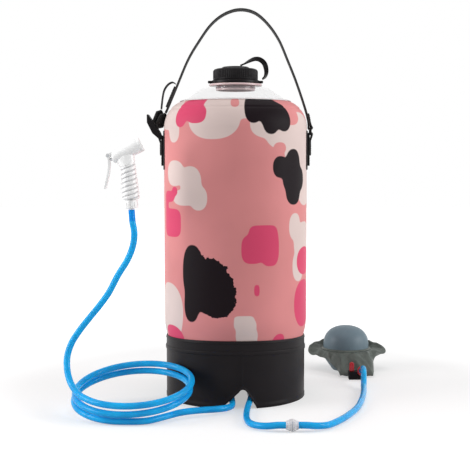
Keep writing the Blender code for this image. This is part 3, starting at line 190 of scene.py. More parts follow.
def linear(code):
    """An sRGB hex colour as linear values with full opacity."""
    channels = [int(code[i : i + 2], 16) / 255 for i in (0, 2, 4)]
    return (*(c / 12.92 if c <= 0.04045 else ((c + 0.055) / 1.055) ** 2.4 for c in channels), 1.0)


def swatch(name, code, about):
    """A colour that the user can change."""
    return bpy.props.FloatVectorProperty(
        name=name, description=about, subtype="COLOR", size=4, min=0.0, max=1.0, default=linear(code)
    )


def amount(name, default, low, high, kind, about):
    """A number that the user can change, between the given limits."""
    return bpy.props.FloatProperty(
        name=name, description=about, unit=kind, min=low, max=high, default=default
    )


class ShowerPrint(bpy.types.PropertyGroup):
    """Colours and creases of the printed sleeve."""

    base: swatch("Base pink", "dc8e8e", "Ground colour of the print")
    pale: swatch("Pale patches", "ddc9c4", "Colour of the large pale patches")
    rose: swatch("Rose patches", "d94d70", "Colour of the rose patches")
    black: swatch("Black patches", "191115", "Colour of the black patches")
    crease: amount("Crease depth", 0.0007, 0.0, 0.003, "LENGTH", "How deep the soft creases are")


class ShowerHose(bpy.types.PropertyGroup):
    """The see-through hoses."""

    blue: swatch("Hose", "20b9ff", "Colour of the hose")
    barb: swatch("Hose on the barb", "10a2fa", "Darker colour where the hose is pushed over its barb")
    radius: amount("Radius", HOSE_RADIUS, 0.002, 0.01, "LENGTH", "Outer radius of the hoses")


class ShowerTrim(bpy.types.PropertyGroup):
    """Colours of the plain pieces."""

    black: swatch("Black vinyl", "181416", "Base skirt and strap patches")
    plastic: swatch("Black plastic", "141113", "Cap, ring, lock and fittings")
    webbing: swatch("Webbing", "120f11", "Carry strap, for the woven recipe that isn't in use yet")
    white: swatch("White plastic", "ffffff", "Handset")
    slate: swatch("Slate vinyl", "647680", "Dome of the foot pump")
    brim: swatch("Brim vinyl", "525954", "Seam flange of the foot pump")
    red: swatch("Red plastic", "c4202a", "Collar and plug of the foot pump")


class ShowerStage(bpy.types.PropertyGroup):
    """Camera and light."""

    lens: amount("Lens", 84.26, 20.0, 200.0, "CAMERA", "Focal length on a 36 mm sensor")
    flank: amount("Side lamps", 22.5, 0.0, 200.0, "POWER", "Power of the right lamp, which the left follows")
    top: amount("Top lamp", 4.5, 0.0, 200.0, "POWER", "Power of the lamp overhead")
    sky: amount("Fill", 0.4, 0.0, 2.0, "NONE", "Strength of the even light from all round")


def trim():
    return bpy.context.scene.shower_trim


def add(tree, kind, settings=None, links=None, out=0):
    """Adds a node, sets its options and input values, links sockets to its inputs, and gives one output."""
    node = tree.nodes.new("ShaderNode" + kind)
    for name, value in (settings or {}).items():
        if name == "stops":
            while len(node.color_ramp.elements) < len(value):
                node.color_ramp.elements.new(0.5)
            for stop, (position, colour) in zip(node.color_ramp.elements, value):
                stop.position = position
                stop.color = colour
        elif isinstance(name, str) and hasattr(node, name):
            setattr(node, name, value)
        else:
            node.inputs[name].default_value = value
    for name, socket in (links or {}).items():
        tree.links.new(socket, node.inputs[name])
    return node.outputs[out]


def feed(tree, **sockets):
    """Gives sockets of the shader a value that is the same all over, or what another node sends."""
    shader = tree.nodes["Principled BSDF"]
    for name, given in sockets.items():
        socket = shader.inputs[name.replace("_", " ").title().replace("Ior", "IOR")]
        if isinstance(given, bpy.types.NodeSocket):
            tree.links.new(given, socket)
        else:
            socket.default_value = given


def finish(name, **values):
    """A new material and its nodes, with the given values on its shader."""
    material = bpy.data.materials.new(name)
    material.use_nodes = True
    feed(material.node_tree, **values)
    return material, material.node_tree


def toned(colour, factor):
    """The colour made lighter or darker."""
    return (*(min(1.0, c * factor) for c in colour[:3]), 1.0)


def skin(tree, colour, spread, patch, grit, depth, rough):
    """Cloudy colour, a grit that gives relief, and roughness that follows the grit. Sizes are in metres."""
    where = add(tree, "TexCoord", out="Object")
    cloud = add(tree, "TexNoise", {"Scale": 1 / patch, "Detail": 3.0, "Roughness": 0.55}, {"Vector": where})
    stops = [(0.3, toned(colour, 1 - spread)), (0.7, toned(colour, 1 + spread))]
    tint = add(tree, "ValToRGB", {"stops": stops}, {"Fac": cloud})
    grain = add(tree, "TexNoise", {"Scale": 1 / grit, "Detail": 2.0}, {"Vector": where})
    relief = add(tree, "Bump", {"Distance": depth}, {"Height": grain})
    gloss = add(tree, "MapRange", {"To Min": rough[0], "To Max": rough[1]}, {"Value": grain})
    feed(tree, base_color=tint, normal=relief, roughness=gloss)
    return tint, relief


# Materials that are a skin alone: the colour as a hex code or a setting's name, then the rest of what skin
# takes, and the shader's other values
SKINS = {
    # Clear calendered vinyl film: almost unseen, faintly milky, with soft highlights on its puckers
    "clear vinyl": ("fdfdff", 0.02, 0.03, 0.004, 0.0001, (0.12, 0.22), {"alpha": 0.07}),
    # The same film after the welding bar: pressed flat and milky, with the bar's fine cross lines
    "frosted weld": ("f4eeee", 0.03, 0.01, 0.0012, 0.0002, (0.3, 0.45), {"alpha": 0.7}),
    # Black coated vinyl with a pressed grain: broad soft sheen and a warm grey bloom. The grain of 0.5 mm is
    # drawn at 1 mm
    "black vinyl": ("black", 0.18, 0.05, 0.001, 0.00008, (0.36, 0.5), {"specular_ior_level": 0.12}),
    # Injection-moulded black polypropylene: satin, with a fine spark-eroded texture drawn at 0.6 mm
    "black plastic": ("plastic", 0.12, 0.03, 0.0006, 0.00003, (0.32, 0.46), {"specular_ior_level": 0.12}),
    # Moulded nitrile rubber: matt black with a dusty bloom
    "seal rubber": ("1d1c1b", 0.2, 0.006, 0.0008, 0.00004, (0.62, 0.78), {}),
    # Bonded nylon thread: a shade lighter than the webbing, waxed, with its twist drawn at 0.4 mm
    "sewing thread": (
        "231f21", 0.2, 0.002, 0.0004, 0.00005, (0.45, 0.6),
        {"sheen_weight": 0.05, "specular_ior_level": 0.2},
    ),
    # The drilled spray plate in the handset's ABS, a little greyer from water marks
    "spray face": ("cfd0cf", 0.06, 0.004, 0.0008, 0.00003, (0.3, 0.45), {}),
    # Zinc-plated spring steel: bright grey metal with the fine draw lines of the strip
    "plated steel": ("b9bcc0", 0.08, 0.006, 0.0006, 0.00003, (0.22, 0.36), {"metallic": 1.0}),
    # Natural polypropylene: cloudy white that lets some light through
    "milky plastic": (
        "f1f1f4", 0.03, 0.006, 0.001, 0.00003, (0.25, 0.38), {"transmission_weight": 0.35, "ior": 1.4},
    ),
    # Dip-moulded blue-grey vinyl: smooth skin with a broad soft highlight
    "slate vinyl": ("slate", 0.06, 0.03, 0.0012, 0.00004, (0.42, 0.52), {"specular_ior_level": 0.3}),
    # Welded flange of grey-green vinyl sheet: creased, with shinier handled edges
    "brim vinyl": ("brim", 0.16, 0.016, 0.003, 0.0004, (0.3, 0.45), {"specular_ior_level": 0.25}),
    # Open-cell polyurethane foam: matt cream with cells of 1 mm
    "foam rubber": ("d8cfae", 0.1, 0.004, 0.001, 0.0004, (0.85, 0.98), {"subsurface_weight": 0.1}),
    # Red polyethylene plug and collar: glossy, a little waxy
    "red plastic": ("red", 0.06, 0.004, 0.0008, 0.00003, (0.25, 0.35), {"subsurface_weight": 0.05}),
}


def plain_skin(name):
    colour, *look, values = SKINS[name]
    material, tree = finish(name, **values)
    skin(tree, getattr(trim(), colour, None) or linear(colour), *look)
    return material


def printed_vinyl(name):
    # Vinyl-coated polyester with a gravure print: flat inks under a satin skin, the scrim just showing
    # through
    inks = bpy.context.scene.shower_print
    material, tree = finish(name, specular_ior_level=0.06)
    where = add(tree, "TexCoord", out="Object")
    wash = add(tree, "TexNoise", {"Scale": 1 / 0.09, "Detail": 2.0}, {"Vector": where})
    stops = [(0.3, toned(inks.base, 0.93)), (0.7, toned(inks.base, 1.05))]
    colour = add(tree, "ValToRGB", {"stops": stops}, {"Fac": wash})
    for layer in ("pale", "rose", "black"):
        depth = add(tree, "Attribute", {"attribute_name": layer}, out="Fac")
        if layer == "black":
            rubbed = add(tree, "Attribute", {"attribute_name": "rubbed"}, out="Fac")
            flakes = add(tree, "TexNoise", {"Scale": 1 / 0.006, "Detail": 3.0}, {"Vector": where})
            even = add(tree, "Math", {"operation": "SUBTRACT", 1: 0.5}, {0: flakes})
            chips = add(tree, "Math", {"operation": "MULTIPLY"}, {0: even, 1: rubbed})
            depth = add(tree, "Math", {"operation": "ADD"}, {0: depth, 1: chips})
        edge = add(tree, "MapRange", {"From Min": -0.0004, "From Max": 0.0004}, {"Value": depth})
        ink = getattr(inks, layer)
        stops = [(0.3, toned(ink, 0.95)), (0.7, toned(ink, 1.05))]
        worn = add(tree, "ValToRGB", {"stops": stops}, {"Fac": wash})
        colour = add(tree, "Mix", {"data_type": "RGBA"}, {0: edge, 6: colour, 7: worn}, 2)
    # The scrim's threads lie 0.6 mm apart: drawn at 1.5 mm, because finer threads don't show
    flat = add(tree, "Attribute", {"attribute_name": "wrap"}, out="Vector")
    threads = []
    for way in "XY":
        lines = {"bands_direction": way, "Scale": 1 / 0.0015 / BANDS}
        threads.append(add(tree, "TexWave", lines, {"Vector": flat}, "Fac"))
    weave = add(tree, "Math", {"operation": "ADD"}, dict(enumerate(threads)))
    relief = add(tree, "Bump", {"Strength": 0.35, "Distance": 0.00012}, {"Height": weave})
    gloss = add(tree, "MapRange", {"To Min": 0.38, "To Max": 0.5}, {"Value": wash})
    feed(tree, base_color=colour, normal=relief, roughness=gloss)
    return material


def welded_vinyl(name):
    # Black vinyl under the welding bar: a diamond pattern of about 2.5 mm, glossier on its points
    material, tree = finish(name, specular_ior_level=0.2)
    _, relief = skin(tree, trim().black, 0.15, 0.02, 0.0015, 0.00008, (0.3, 0.45))
    where = add(tree, "TexCoord", out="Object")
    slanted = add(tree, "Mapping", {"Rotation": (0.7854, 0.0, 0.0)}, {"Vector": where})
    ridges = []
    for way in "YZ":
        lines = {"bands_direction": way, "Scale": 1 / 0.0025 / BANDS}
        ridges.append(add(tree, "TexWave", lines, {"Vector": slanted}, "Fac"))
    points = add(tree, "Math", {"operation": "MULTIPLY"}, dict(enumerate(ridges)))
    pressed = add(tree, "Bump", {"Strength": 0.8, "Distance": 0.0003}, {"Height": points})
    tree.links.new(pressed, relief.node.inputs["Normal"])
    return material


def neck_vinyl(name):
    # Injection-moulded soft vinyl, glossy from its mould: pale rose, with painted shade as a dark band
    # inside below its flange, where the neck stands in the dome's shadow
    material, tree = finish(name, subsurface_weight=0.05)
    tint, _ = skin(tree, linear("e2c4c5"), 0.05, 0.02, 0.002, 0.00004, (0.2, 0.3))
    height = add(tree, "SeparateXYZ", {}, {"Vector": add(tree, "TexCoord", out="Object")}, "Z")
    ends = {"From Min": FLANGE_Z - 0.0065, "From Max": FLANGE_Z + 0.0015}
    up = add(tree, "MapRange", ends, {"Value": height})
    none, full = (0, 0, 0, 1), (1, 1, 1, 1)
    stops = [(0.25, none), (0.42, full), (0.72, full), (0.82, none)]
    band = add(tree, "ValToRGB", {"stops": stops}, {"Fac": up})
    # Painted shade: the dark colour mixed in below the flange stands for the shadow inside the dome
    mixed = add(tree, "Mix", {"data_type": "RGBA", 7: linear("633842")}, {0: band, 6: tint}, 2)
    feed(tree, base_color=mixed)
    return material


def webbing(name):
    # Woven polypropylene webbing: a herringbone of flat ribs, glossy thread by thread. The ribs of 1.3 mm
    # are drawn at 1.9 mm. It isn't in use yet: the strap shows the frame's plain webbing, as once tells
    material, tree = finish(name, specular_ior_level=0.05)
    along = add(tree, "Attribute", {"attribute_name": "along"}, out="Fac")
    across = add(tree, "Attribute", {"attribute_name": "across"}, out="Fac")
    chevron = add(tree, "Math", {"operation": "PINGPONG", 1: 0.0031}, {0: across})
    slanted = add(tree, "Math", {"operation": "ADD"}, {0: along, 1: chevron})
    phase = add(tree, "Math", {"operation": "MULTIPLY", 1: math.tau / 0.0019}, {0: slanted})
    wave = add(tree, "Math", {"operation": "SINE"}, {0: phase})
    height = add(tree, "MapRange", {"From Min": -1.0}, {"Value": wave})
    # The ribs' colour follows their height: painted shade in the troughs and a painted highlight on the
    # crests
    stops = [(0.0, toned(trim().webbing, 0.8)), (1.0, toned(trim().webbing, 1.15))]
    tint = add(tree, "ValToRGB", {"stops": stops}, {"Fac": height})
    relief = add(tree, "Bump", {"Strength": 0.25, "Distance": 0.0001}, {"Height": wave})
    gloss = add(tree, "MapRange", {"From Min": -1.0, "To Min": 0.75, "To Max": 0.6}, {"Value": wave})
    feed(tree, base_color=tint, normal=relief, roughness=gloss)
    return material


def handset_plastic(name):
    # White moulded ABS: even and clean, satin, with the faintest flow clouding, and its grooves darkened
    # to grey as painted shade
    material, tree = finish(name, coat_weight=0.12, coat_roughness=0.2)
    tint, _ = skin(tree, trim().white, 0.015, 0.03, 0.0008, 0.00002, (0.28, 0.38))
    # Painted shade: the deeper a point lies in a groove, the greyer its colour
    groove = add(tree, "Attribute", {"attribute_name": "groove"}, out="Fac")
    mixed = add(tree, "Mix", {"data_type": "RGBA", 7: linear("bcbcbf")}, {0: groove, 6: tint}, 2)
    feed(tree, base_color=mixed)
    return material


def blue_hose(name):
    # Extruded clear vinyl tinted blue: deep and glassy, darker where it is stretched over the handset's barb
    hose = bpy.context.scene.shower_hose
    material, tree = finish(name, transmission_weight=0.3, ior=1.3, specular_ior_level=0.2)
    where = add(tree, "TexCoord", out="Object")
    height = add(tree, "SeparateXYZ", {}, {"Vector": where}, "Z")
    barb = add(tree, "MapRange", {"From Min": 0.2612, "From Max": 0.2622}, {"Value": height})
    cloud = add(tree, "TexNoise", {"Scale": 1 / 0.02, "Detail": 2.0}, {"Vector": where})
    stops = [(0.3, toned(hose.blue, 0.85)), (0.7, toned(hose.blue, 1.12))]
    tint = add(tree, "ValToRGB", {"stops": stops}, {"Fac": cloud})
    mixed = add(tree, "Mix", {"data_type": "RGBA", 7: hose.barb}, {0: barb, 6: tint}, 2)
    gloss = add(tree, "MapRange", {"To Min": 0.1, "To Max": 0.2}, {"Value": cloud})
    feed(tree, base_color=mixed, roughness=gloss)
    return material


def seen_rays(tree):
    """One for the rays that show the surroundings: from the camera, mirrored, or through clear stuff."""
    rays = add(tree, "LightPath").node.outputs
    seen = rays["Is Camera Ray"]
    for kind in ("Is Glossy Ray", "Is Transmission Ray"):
        seen = add(tree, "Math", {"operation": "MAXIMUM"}, {0: seen, 1: rays[kind]})
    return seen


def studio_floor(name):
    # Matt paper sweep: it keeps the soft shadow of what stands on it, and its far part fades to plain white
    white = (1.0, 1.0, 1.0, 1.0)
    material, tree = finish(
        name, roughness=0.9, specular_ior_level=0.0, base_color=linear("c8c8c8"), emission_color=white
    )
    where = add(tree, "TexCoord", out="Object")
    away = add(tree, "VectorMath", {"operation": "LENGTH"}, {0: where}, "Value")
    fade = add(tree, "MapRange", {"From Min": 0.35, "From Max": 0.9, "To Min": 0.45}, {"Value": away})
    glow = add(tree, "Math", {"operation": "MULTIPLY"}, {0: seen_rays(tree), 1: fade})
    feed(tree, emission_strength=glow)
    return material


# Materials with more to them than a skin
RECIPES = {
    "printed vinyl": printed_vinyl, "welded vinyl": welded_vinyl, "neck vinyl": neck_vinyl,
    "webbing": webbing, "handset plastic": handset_plastic, "blue hose": blue_hose,
    "studio floor": studio_floor,
}

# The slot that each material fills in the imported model
SLOTS = {
    "printed vinyl": "printed_pvc", "clear vinyl": "clear_pvc", "frosted weld": "clear_pvc",
    "black vinyl": "black_pvc", "welded vinyl": "black_pvc", "neck vinyl": "neck_pvc",
    "black plastic": "black_plastic", "seal rubber": "seal_rubber", "webbing": "webbing",
    "sewing thread": "webbing", "plated steel": "steel", "handset plastic": "off_white_abs",
    "blue hose": "hose_blue", "milky plastic": "valve_clear", "slate vinyl": "slate_pvc",
    "brim vinyl": "seam_pvc", "foam rubber": "foam", "red plastic": "red_plastic",
}


def once(name):
    """The material of this name, made the first time that it is asked for.

    The frame's own webbing has the same name as the one here, so it is found, and the recipe isn't called.
    """
    return bpy.data.materials.get(name) or RECIPES.get(name, plain_skin)(name)


def unit(value):
    """The value held between 0 and 1."""
    return min(1.0, max(0.0, value))


def polar(vert):
    """The vertex's angle and its distance round the z axis."""
    return math.atan2(vert.co.y, vert.co.x), math.hypot(vert.co.x, vert.co.y)


def line_of(shape, points, closed=False):
    """Vertices joined by edges along the points."""
    verts = [shape.verts.new(p) for p in points]
    edges = [shape.edges.new(pair) for pair in zip(verts, verts[1:])]
    if closed:
        edges.append(shape.edges.new((verts[-1], verts[0])))
    return verts + edges


def face_outwards(shape):
    """Turns every face out, on a closed body and on an open sheet round a middle alike."""
    bmesh.ops.recalc_face_normals(shape, faces=shape.faces)
    middle = sum((v.co for v in shape.verts), Vector()) / len(shape.verts)
    far = max(shape.faces, key=lambda face: (face.calc_center_median() - middle).length)
    if far.normal.dot(far.calc_center_median() - middle) < 0:
        bmesh.ops.reverse_faces(shape, faces=shape.faces)


def spun(profile, steps, closed=False):
    """A body of revolution about z from radius and height pairs."""
    shape = bmesh.new()
    geometry = line_of(shape, [(radius, 0.0, height) for radius, height in profile], closed)
    bmesh.ops.spin(
        shape, geom=geometry, cent=(0, 0, 0), axis=(0, 0, 1), dvec=(0, 0, 0), angle=math.tau, steps=steps,
        use_merge=True,
    )
    bmesh.ops.remove_doubles(shape, verts=shape.verts, dist=0.00001)
    face_outwards(shape)
    return shape


def shifted(shape, rule):
    """Moves each vertex outwards from the z axis by what the rule gives for its angle, radius and height."""
    for vert in shape.verts:
        angle, reach = polar(vert)
        if reach > 1e-6:
            scale = (reach + rule(angle, reach, vert.co.z)) / reach
            vert.co.x *= scale
            vert.co.y *= scale


def rounded(profile, radius, segments=4):
    """The closed profile with its corners rounded, each by no more than its shorter side allows."""
    result = []
    count = len(profile)
    for i in range(count):
        corner = Vector(profile[i])
        before = Vector(profile[i - 1]) - corner
        after = Vector(profile[(i + 1) % count]) - corner
        reach = min(radius, before.length * 0.45, after.length * 0.45)
        start, end = corner + before.normalized() * reach, corner + after.normalized() * reach
        for k in range(segments + 1):
            t = k / segments
            result.append(tuple(start * (1 - t) ** 2 + corner * 2 * t * (1 - t) + end * t**2))
    return result


def settle(name, data, material, body, nodes=(), slot=None):
    """A new object with its material and body; it hides the CAD nodes it stands for, and sets no slot."""
    obj = bpy.data.objects.new(name, data)
    bpy.context.scene.collection.objects.link(obj)
    data.materials.append(once(material))
    slot = slot or SLOTS.get(material)
    if body:
        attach(obj, body)
    if nodes:
        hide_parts(*nodes)
    return obj


def piece(name, shape, material, body, nodes=(), slot=None, at=None, sharp=40.0):
    """The shape as an object in place, with the given frame on the stand."""
    place = Matrix.Translation(STAND) @ (at or Matrix.Identity(4))
    bmesh.ops.transform(shape, matrix=place, verts=shape.verts)
    mesh = bpy.data.meshes.new(name)
    shape.to_mesh(mesh)
    shape.free()
    mesh.shade_smooth()
    mesh.set_sharp_from_angle(angle=math.radians(sharp))
    return settle(name, mesh, material, body, nodes, slot)


def turned(name, profile, corner, steps, *settings, segments=4, rule=None, **options):
    """A piece of revolution from a closed profile with its corners rounded, and shifted by a rule."""
    shape = spun(rounded(profile, corner, segments), steps, closed=True)
    if rule:
        shifted(shape, rule)
    return piece(name, shape, *settings, **options)


def thicken(obj, thickness, offset=-1.0):
    wall = obj.modifiers.new("Wall", "SOLIDIFY")
    wall.thickness = thickness
    wall.offset = offset
    wall.use_even_offset = True


def soften(obj, width, segments=2):
    edges = obj.modifiers.new("Edges", "BEVEL")
    edges.width = width
    edges.segments = segments
    edges.limit_method = "ANGLE"
    edges.angle_limit = math.radians(35)
    return obj


def eased_copy(node, name, material, width):
    """A copy of a CAD node with its flat areas joined and its edges rounded, in the node's place."""
    shape = bmesh.new()
    shape.from_mesh(FRAME["nodes"][node].data)
    bmesh.ops.remove_doubles(shape, verts=shape.verts, dist=0.00002)
    flat = math.radians(1.5)
    bmesh.ops.dissolve_limit(shape, angle_limit=flat, verts=shape.verts, edges=shape.edges)
    body, place = FRAME["nodes"][node]["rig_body"], Matrix.Translation(-STAND)
    return soften(piece(name, shape, material, body, (node,), at=place, sharp=35.0), width)


def carried(material, *nodes):
    """Gives CAD nodes that stay their finish."""
    for node in nodes:
        slots = FRAME["nodes"][node].data.materials
        slots.clear()
        slots.append(once(material))


def smooth(points, step):
    """Evenly spaced points on a smooth curve through the given ones."""
    ends = [points[0], *points, points[-1]]
    dense = []
    for i in range(1, len(ends) - 2):
        a, b, c, d = (Vector(p) for p in ends[i - 1 : i + 3])
        for k in range(16):
            t = k / 16
            bend = (2 * a - 5 * b + 4 * c - d) * t**2 + (3 * b - a - 3 * c + d) * t**3
            dense.append(0.5 * (2 * b + (c - a) * t + bend))
    dense.append(Vector(points[-1]))
    return spaced(dense, step)


def spaced(dense, step):
    """The same line with its points at equal steps along it."""
    lengths = [0.0]
    for a, b in zip(dense, dense[1:]):
        lengths.append(lengths[-1] + (b - a).length)
    count = max(2, round(lengths[-1] / step))
    result = []
    index = 0
    for k in range(count + 1):
        wanted = lengths[-1] * k / count
        while index < len(dense) - 2 and lengths[index + 1] < wanted:
            index += 1
        span = lengths[index + 1] - lengths[index]
        share = (wanted - lengths[index]) / span if span else 0.0
        result.append(dense[index].lerp(dense[index + 1], share))
    return result


def flat_smooth(points, step):
    return [(p.x, p.y) for p in smooth([(x, z, 0.0) for x, z in points], step)]


def arc(centre, radius, start, end, steps):
    """Points of an arc in degrees, as pairs."""
    angles = [math.radians(start + (end - start) * k / steps) for k in range(steps + 1)]
    return [(centre[0] + radius * math.cos(a), centre[1] + radius * math.sin(a)) for a in angles]


def ribbon(path, width, columns, narrow=None, roll=None):
    """A strip along x, z pairs in the strap plane, which knows how far along and across each point lies.

    It may be narrower or rolled about its own line, by rules that take the share of its length.
    """
    shape = bmesh.new()
    along = shape.verts.layers.float.new("along")
    across = shape.verts.layers.float.new("across")
    row = [(path[0][0], width * (k / columns - 0.5), path[0][1]) for k in range(columns + 1)]
    edges = [g for g in line_of(shape, row) if isinstance(g, bmesh.types.BMEdge)]
    for vert in shape.verts:
        vert[across] = vert.co.y
    run = 0.0
    sideways = {0.0: Vector((path[0][1] - path[1][1], 0.0, path[1][0] - path[0][0])).normalized()}
    for before, after in zip(path, path[1:]):
        step = Vector((after[0] - before[0], 0.0, after[1] - before[1]))
        run += step.length
        facing = Vector((-step.z, 0.0, step.x)).normalized()
        grown = bmesh.ops.extrude_edge_only(shape, edges=edges)["geom"]
        verts = {g for g in grown if isinstance(g, bmesh.types.BMVert)}
        edges = [g for g in grown if isinstance(g, bmesh.types.BMEdge) and set(g.verts) <= verts]
        bmesh.ops.translate(shape, verts=list(verts), vec=step)
        for vert in verts:
            vert[along] = run
            vert[across] = vert.co.y
            sideways[vert[along]] = facing
    if roll:
        for vert in shape.verts:
            turn = roll(vert[along] / run)
            vert.co += sideways[vert[along]] * vert[across] * math.sin(turn)
            vert.co.y *= math.cos(turn)
    if narrow:
        for vert in shape.verts:
            vert.co.y *= narrow(vert[along] / run)
    return shape


def tube_curve(name, points, radius, material, body, nodes, cyclic=False):
    """A round wire or hose along world points, as a curve of one spline."""
    curve = bpy.data.curves.new(name, "CURVE")
    curve.dimensions = "3D"
    curve.bevel_depth = radius
    curve.bevel_resolution = 4
    curve.use_fill_caps = not cyclic
    spline = curve.splines.new("POLY")
    spline.points.add(len(points) - 1)
    for point, place in zip(spline.points, points):
        point.co = (*place, 1.0)
    spline.use_cyclic_u = cyclic
    return settle(name, curve, material, body, nodes)


def stitches(name, seams):
    """Sewing thread of the strap over the given seams, each a start and an end on the stand."""
    shape = bmesh.new()
    for start, end in seams:
        line = Vector(end) - Vector(start)
        count = max(1, round(line.length / 0.0032))
        turn = line.to_track_quat("X", "Z").to_matrix().to_4x4()
        for k in range(count):
            centre = Vector(start) + line * (k + 0.5) / count
            place = Matrix.Translation(centre) @ turn @ Matrix.Diagonal((0.0012, 0.00035, 0.00035, 1.0))
            bmesh.ops.create_icosphere(shape, subdivisions=1, radius=1.0, matrix=place)
    piece(name, shape, "sewing thread", "carry_strap", sharp=180.0)


def coil_point(angle, centre_height):
    """A point of the coil at this many degrees. Its turns pile along the normal of the leaning plane."""
    turn = math.radians(angle)
    uphill = Vector((math.cos(COIL_WAY), math.sin(COIL_WAY), 0))
    across = Vector((-uphill.y, uphill.x, 0))
    up_slope = uphill * math.cos(COIL_LEAN) + Vector((0, 0, math.sin(COIL_LEAN)))
    normal = -uphill * math.sin(COIL_LEAN) + Vector((0, 0, math.cos(COIL_LEAN)))
    reach = COIL_RADIUS + 0.0020 * math.sin(math.radians(1.3 * angle))
    flat = Vector((math.cos(turn), math.sin(turn), 0)) * reach
    height = COIL_PITCH * (COIL_END - angle) / 360
    centre = Vector((*COIL_CENTRE, centre_height))
    return centre + up_slope * flat.dot(uphill) + across * flat.dot(across) + normal * height


def coil_points():
    count = round((COIL_END - COIL_START) / 3)
    angles = [COIL_START + (COIL_END - COIL_START) * k / count for k in range(count + 1)]
    lowest = min(coil_point(a, 0.0).z for a in angles)
    lift = HOSE_RADIUS + FLOOR_GAP - lowest
    return [coil_point(a, lift) for a in angles]


# The shower hose from the handset down to the coil, on the stand
RISE_ROUTE = [
    (-0.1403, -0.1100, 0.2600), (-0.1380, -0.1100, 0.2450), (-0.1400, -0.1100, 0.2280),
    (-0.1475, -0.1100, 0.2086), (-0.1606, -0.1110, 0.1875), (-0.1730, -0.1120, 0.1640),
    (-0.1860, -0.1130, 0.1460), (-0.1986, -0.1140, 0.1306), (-0.2125, -0.1155, 0.1130),
    (-0.2240, -0.1175, 0.0950), (-0.2295, -0.1220, 0.0760), (-0.2275, -0.1310, 0.0560),
    (-0.2190, -0.1440, 0.0400),
]

# The shower hose from the coil through the notch to the outlet
RUN_ROUTE = [
    (-0.1255, -0.1925, 0.0048), (-0.1160, -0.1893, 0.0048), (-0.1082, -0.1841, 0.0050),
    (-0.0990, -0.1757, 0.0055), (-0.0896, -0.1674, 0.0062), (-0.0818, -0.1616, 0.0070),
    (-0.0739, -0.1572, 0.0080), (-0.0600, -0.1508, 0.0086), (-0.0430, -0.1436, 0.0084),
    (-0.0280, -0.1368, 0.0078), (-0.0165, -0.1292, 0.0072), (-0.0083, -0.1180, 0.0066),
    (-0.0046, -0.1050, 0.0063), (-0.0046, -0.0920, 0.0083), (-0.0060, -0.0800, 0.0122),
]

PUMP_ROUTE_A = [
    (0.0220, -0.0800, 0.0122), (0.0198, -0.0920, 0.0085), (0.0178, -0.1050, 0.0066),
    (0.0160, -0.1240, 0.0056), (0.0149, -0.1430, 0.0050), (0.0145, -0.1640, 0.0049),
    (0.0150, -0.1800, 0.0048), (0.0172, -0.1970, 0.0048), (0.0225, -0.2100, 0.0050),
    (0.0310, -0.2196, 0.0056), (0.0418, -0.2257, 0.0068),
]
PUMP_ROUTE_B = [
    (0.1022, -0.2254, 0.0070), (0.1130, -0.2190, 0.0058), (0.1217, -0.2098, 0.0050),
    (0.1350, -0.1890, 0.0048), (0.1500, -0.1590, 0.0048), (0.1670, -0.1150, 0.0048),
    (0.1800, -0.0600, 0.0048), (0.1885, -0.0080, 0.0048), (0.1915, 0.0169, 0.0048), (0.1925, 0.0262, 0.0060),
    (0.1937, 0.0349, 0.0096), (0.1946, 0.0432, 0.0143), (0.1955, 0.0512, 0.0190), (0.1963, 0.0599, 0.0226),
    (0.1969, 0.0692, 0.0238), (0.1974, 0.0785, 0.0226),
]


def squared(points, step):
    """A smooth line whose first and last stretch stay straight, so that its ends are square."""
    dense = smooth(points, 0.002)
    start, end = Vector(points[1]), Vector(points[-2])
    first = min(range(len(dense)), key=lambda i: (dense[i] - start).length)
    last = min(range(len(dense)), key=lambda i: (dense[i] - end).length)
    middle = spaced([start, *dense[first + 1 : last], end], step)
    floor = HOSE_RADIUS + FLOOR_GAP
    raised = [Vector((p.x, p.y, max(p.z, floor))) for p in middle]
    return [Vector(points[0]), *raised, Vector(points[-1])]


def port_line():
    """Where the hose meets the pump's port, and the way that the port points."""
    way = Vector((0, -math.cos(PORT_TILT), math.sin(PORT_TILT)))
    mouth = PUMP @ (Vector((0.0155, TAIL_Y - SEAT - 0.0120, 0.0095)) + way * 0.0090)
    return mouth, way


class SHOWER_OT_stage(bpy.types.Operator):
    """Set up the camera, the lamps, the white surroundings and the floor"""

    bl_idname = "shower.stage"
    bl_label = "Stage"

    def execute(self, context):
        stage = context.scene.shower_stage
        context.scene.view_settings.view_transform = "Standard"
        camera = bpy.data.objects.new("camera", bpy.data.cameras.new("camera"))
        camera.data.sensor_width = 36.0
        camera.data.lens = stage.lens
        camera.location = (-0.0347, -1.6629, 0.3473)
        camera.rotation_euler = (math.radians(85.996), 0.0, 0.0)
        context.scene.collection.objects.link(camera)
        context.scene.camera = camera
        target = Vector((STAND.x, STAND.y, 0.22))
        for name, place, size, power in (
            ("left_lamp", (-1.85, -0.45, 0.75), 1.3, stage.flank * LEFT_SHARE),
            ("right_lamp", (1.75, -0.45, 0.75), 1.3, stage.flank),
            ("top_lamp", (0.0, -0.2, 1.7), 1.2, stage.top),
        ):
            lamp = bpy.data.lights.new(name, "AREA")
            lamp.shape = "DISK"
            lamp.size = size
            lamp.energy = power
            obj = bpy.data.objects.new(name, lamp)
            obj.location = place
            obj.rotation_euler = (target - Vector(place)).to_track_quat("-Z", "Y").to_euler()
            context.scene.collection.objects.link(obj)
        self.surround(context, stage)
        shape = bmesh.new()
        bmesh.ops.create_grid(shape, x_segments=8, y_segments=8, size=6.0)
        bmesh.ops.translate(shape, verts=shape.verts, vec=(0.0, 0.0, -0.0002))
        floor = piece("floor", shape, "studio floor", None, at=Matrix.Translation(-STAND))
        return {"FINISHED"}

    def surround(self, context, stage):
        world = context.scene.world or bpy.data.worlds.new("studio")
        context.scene.world = world
        world.use_nodes = True
        tree = world.node_tree
        backdrop = tree.nodes["Background"]
        backdrop.inputs["Color"].default_value = (1.0, 1.0, 1.0, 1.0)
        bright = add(tree, "MapRange", {"To Min": stage.sky}, {"Value": seen_rays(tree)})
        tree.links.new(bright, backdrop.inputs["Strength"])


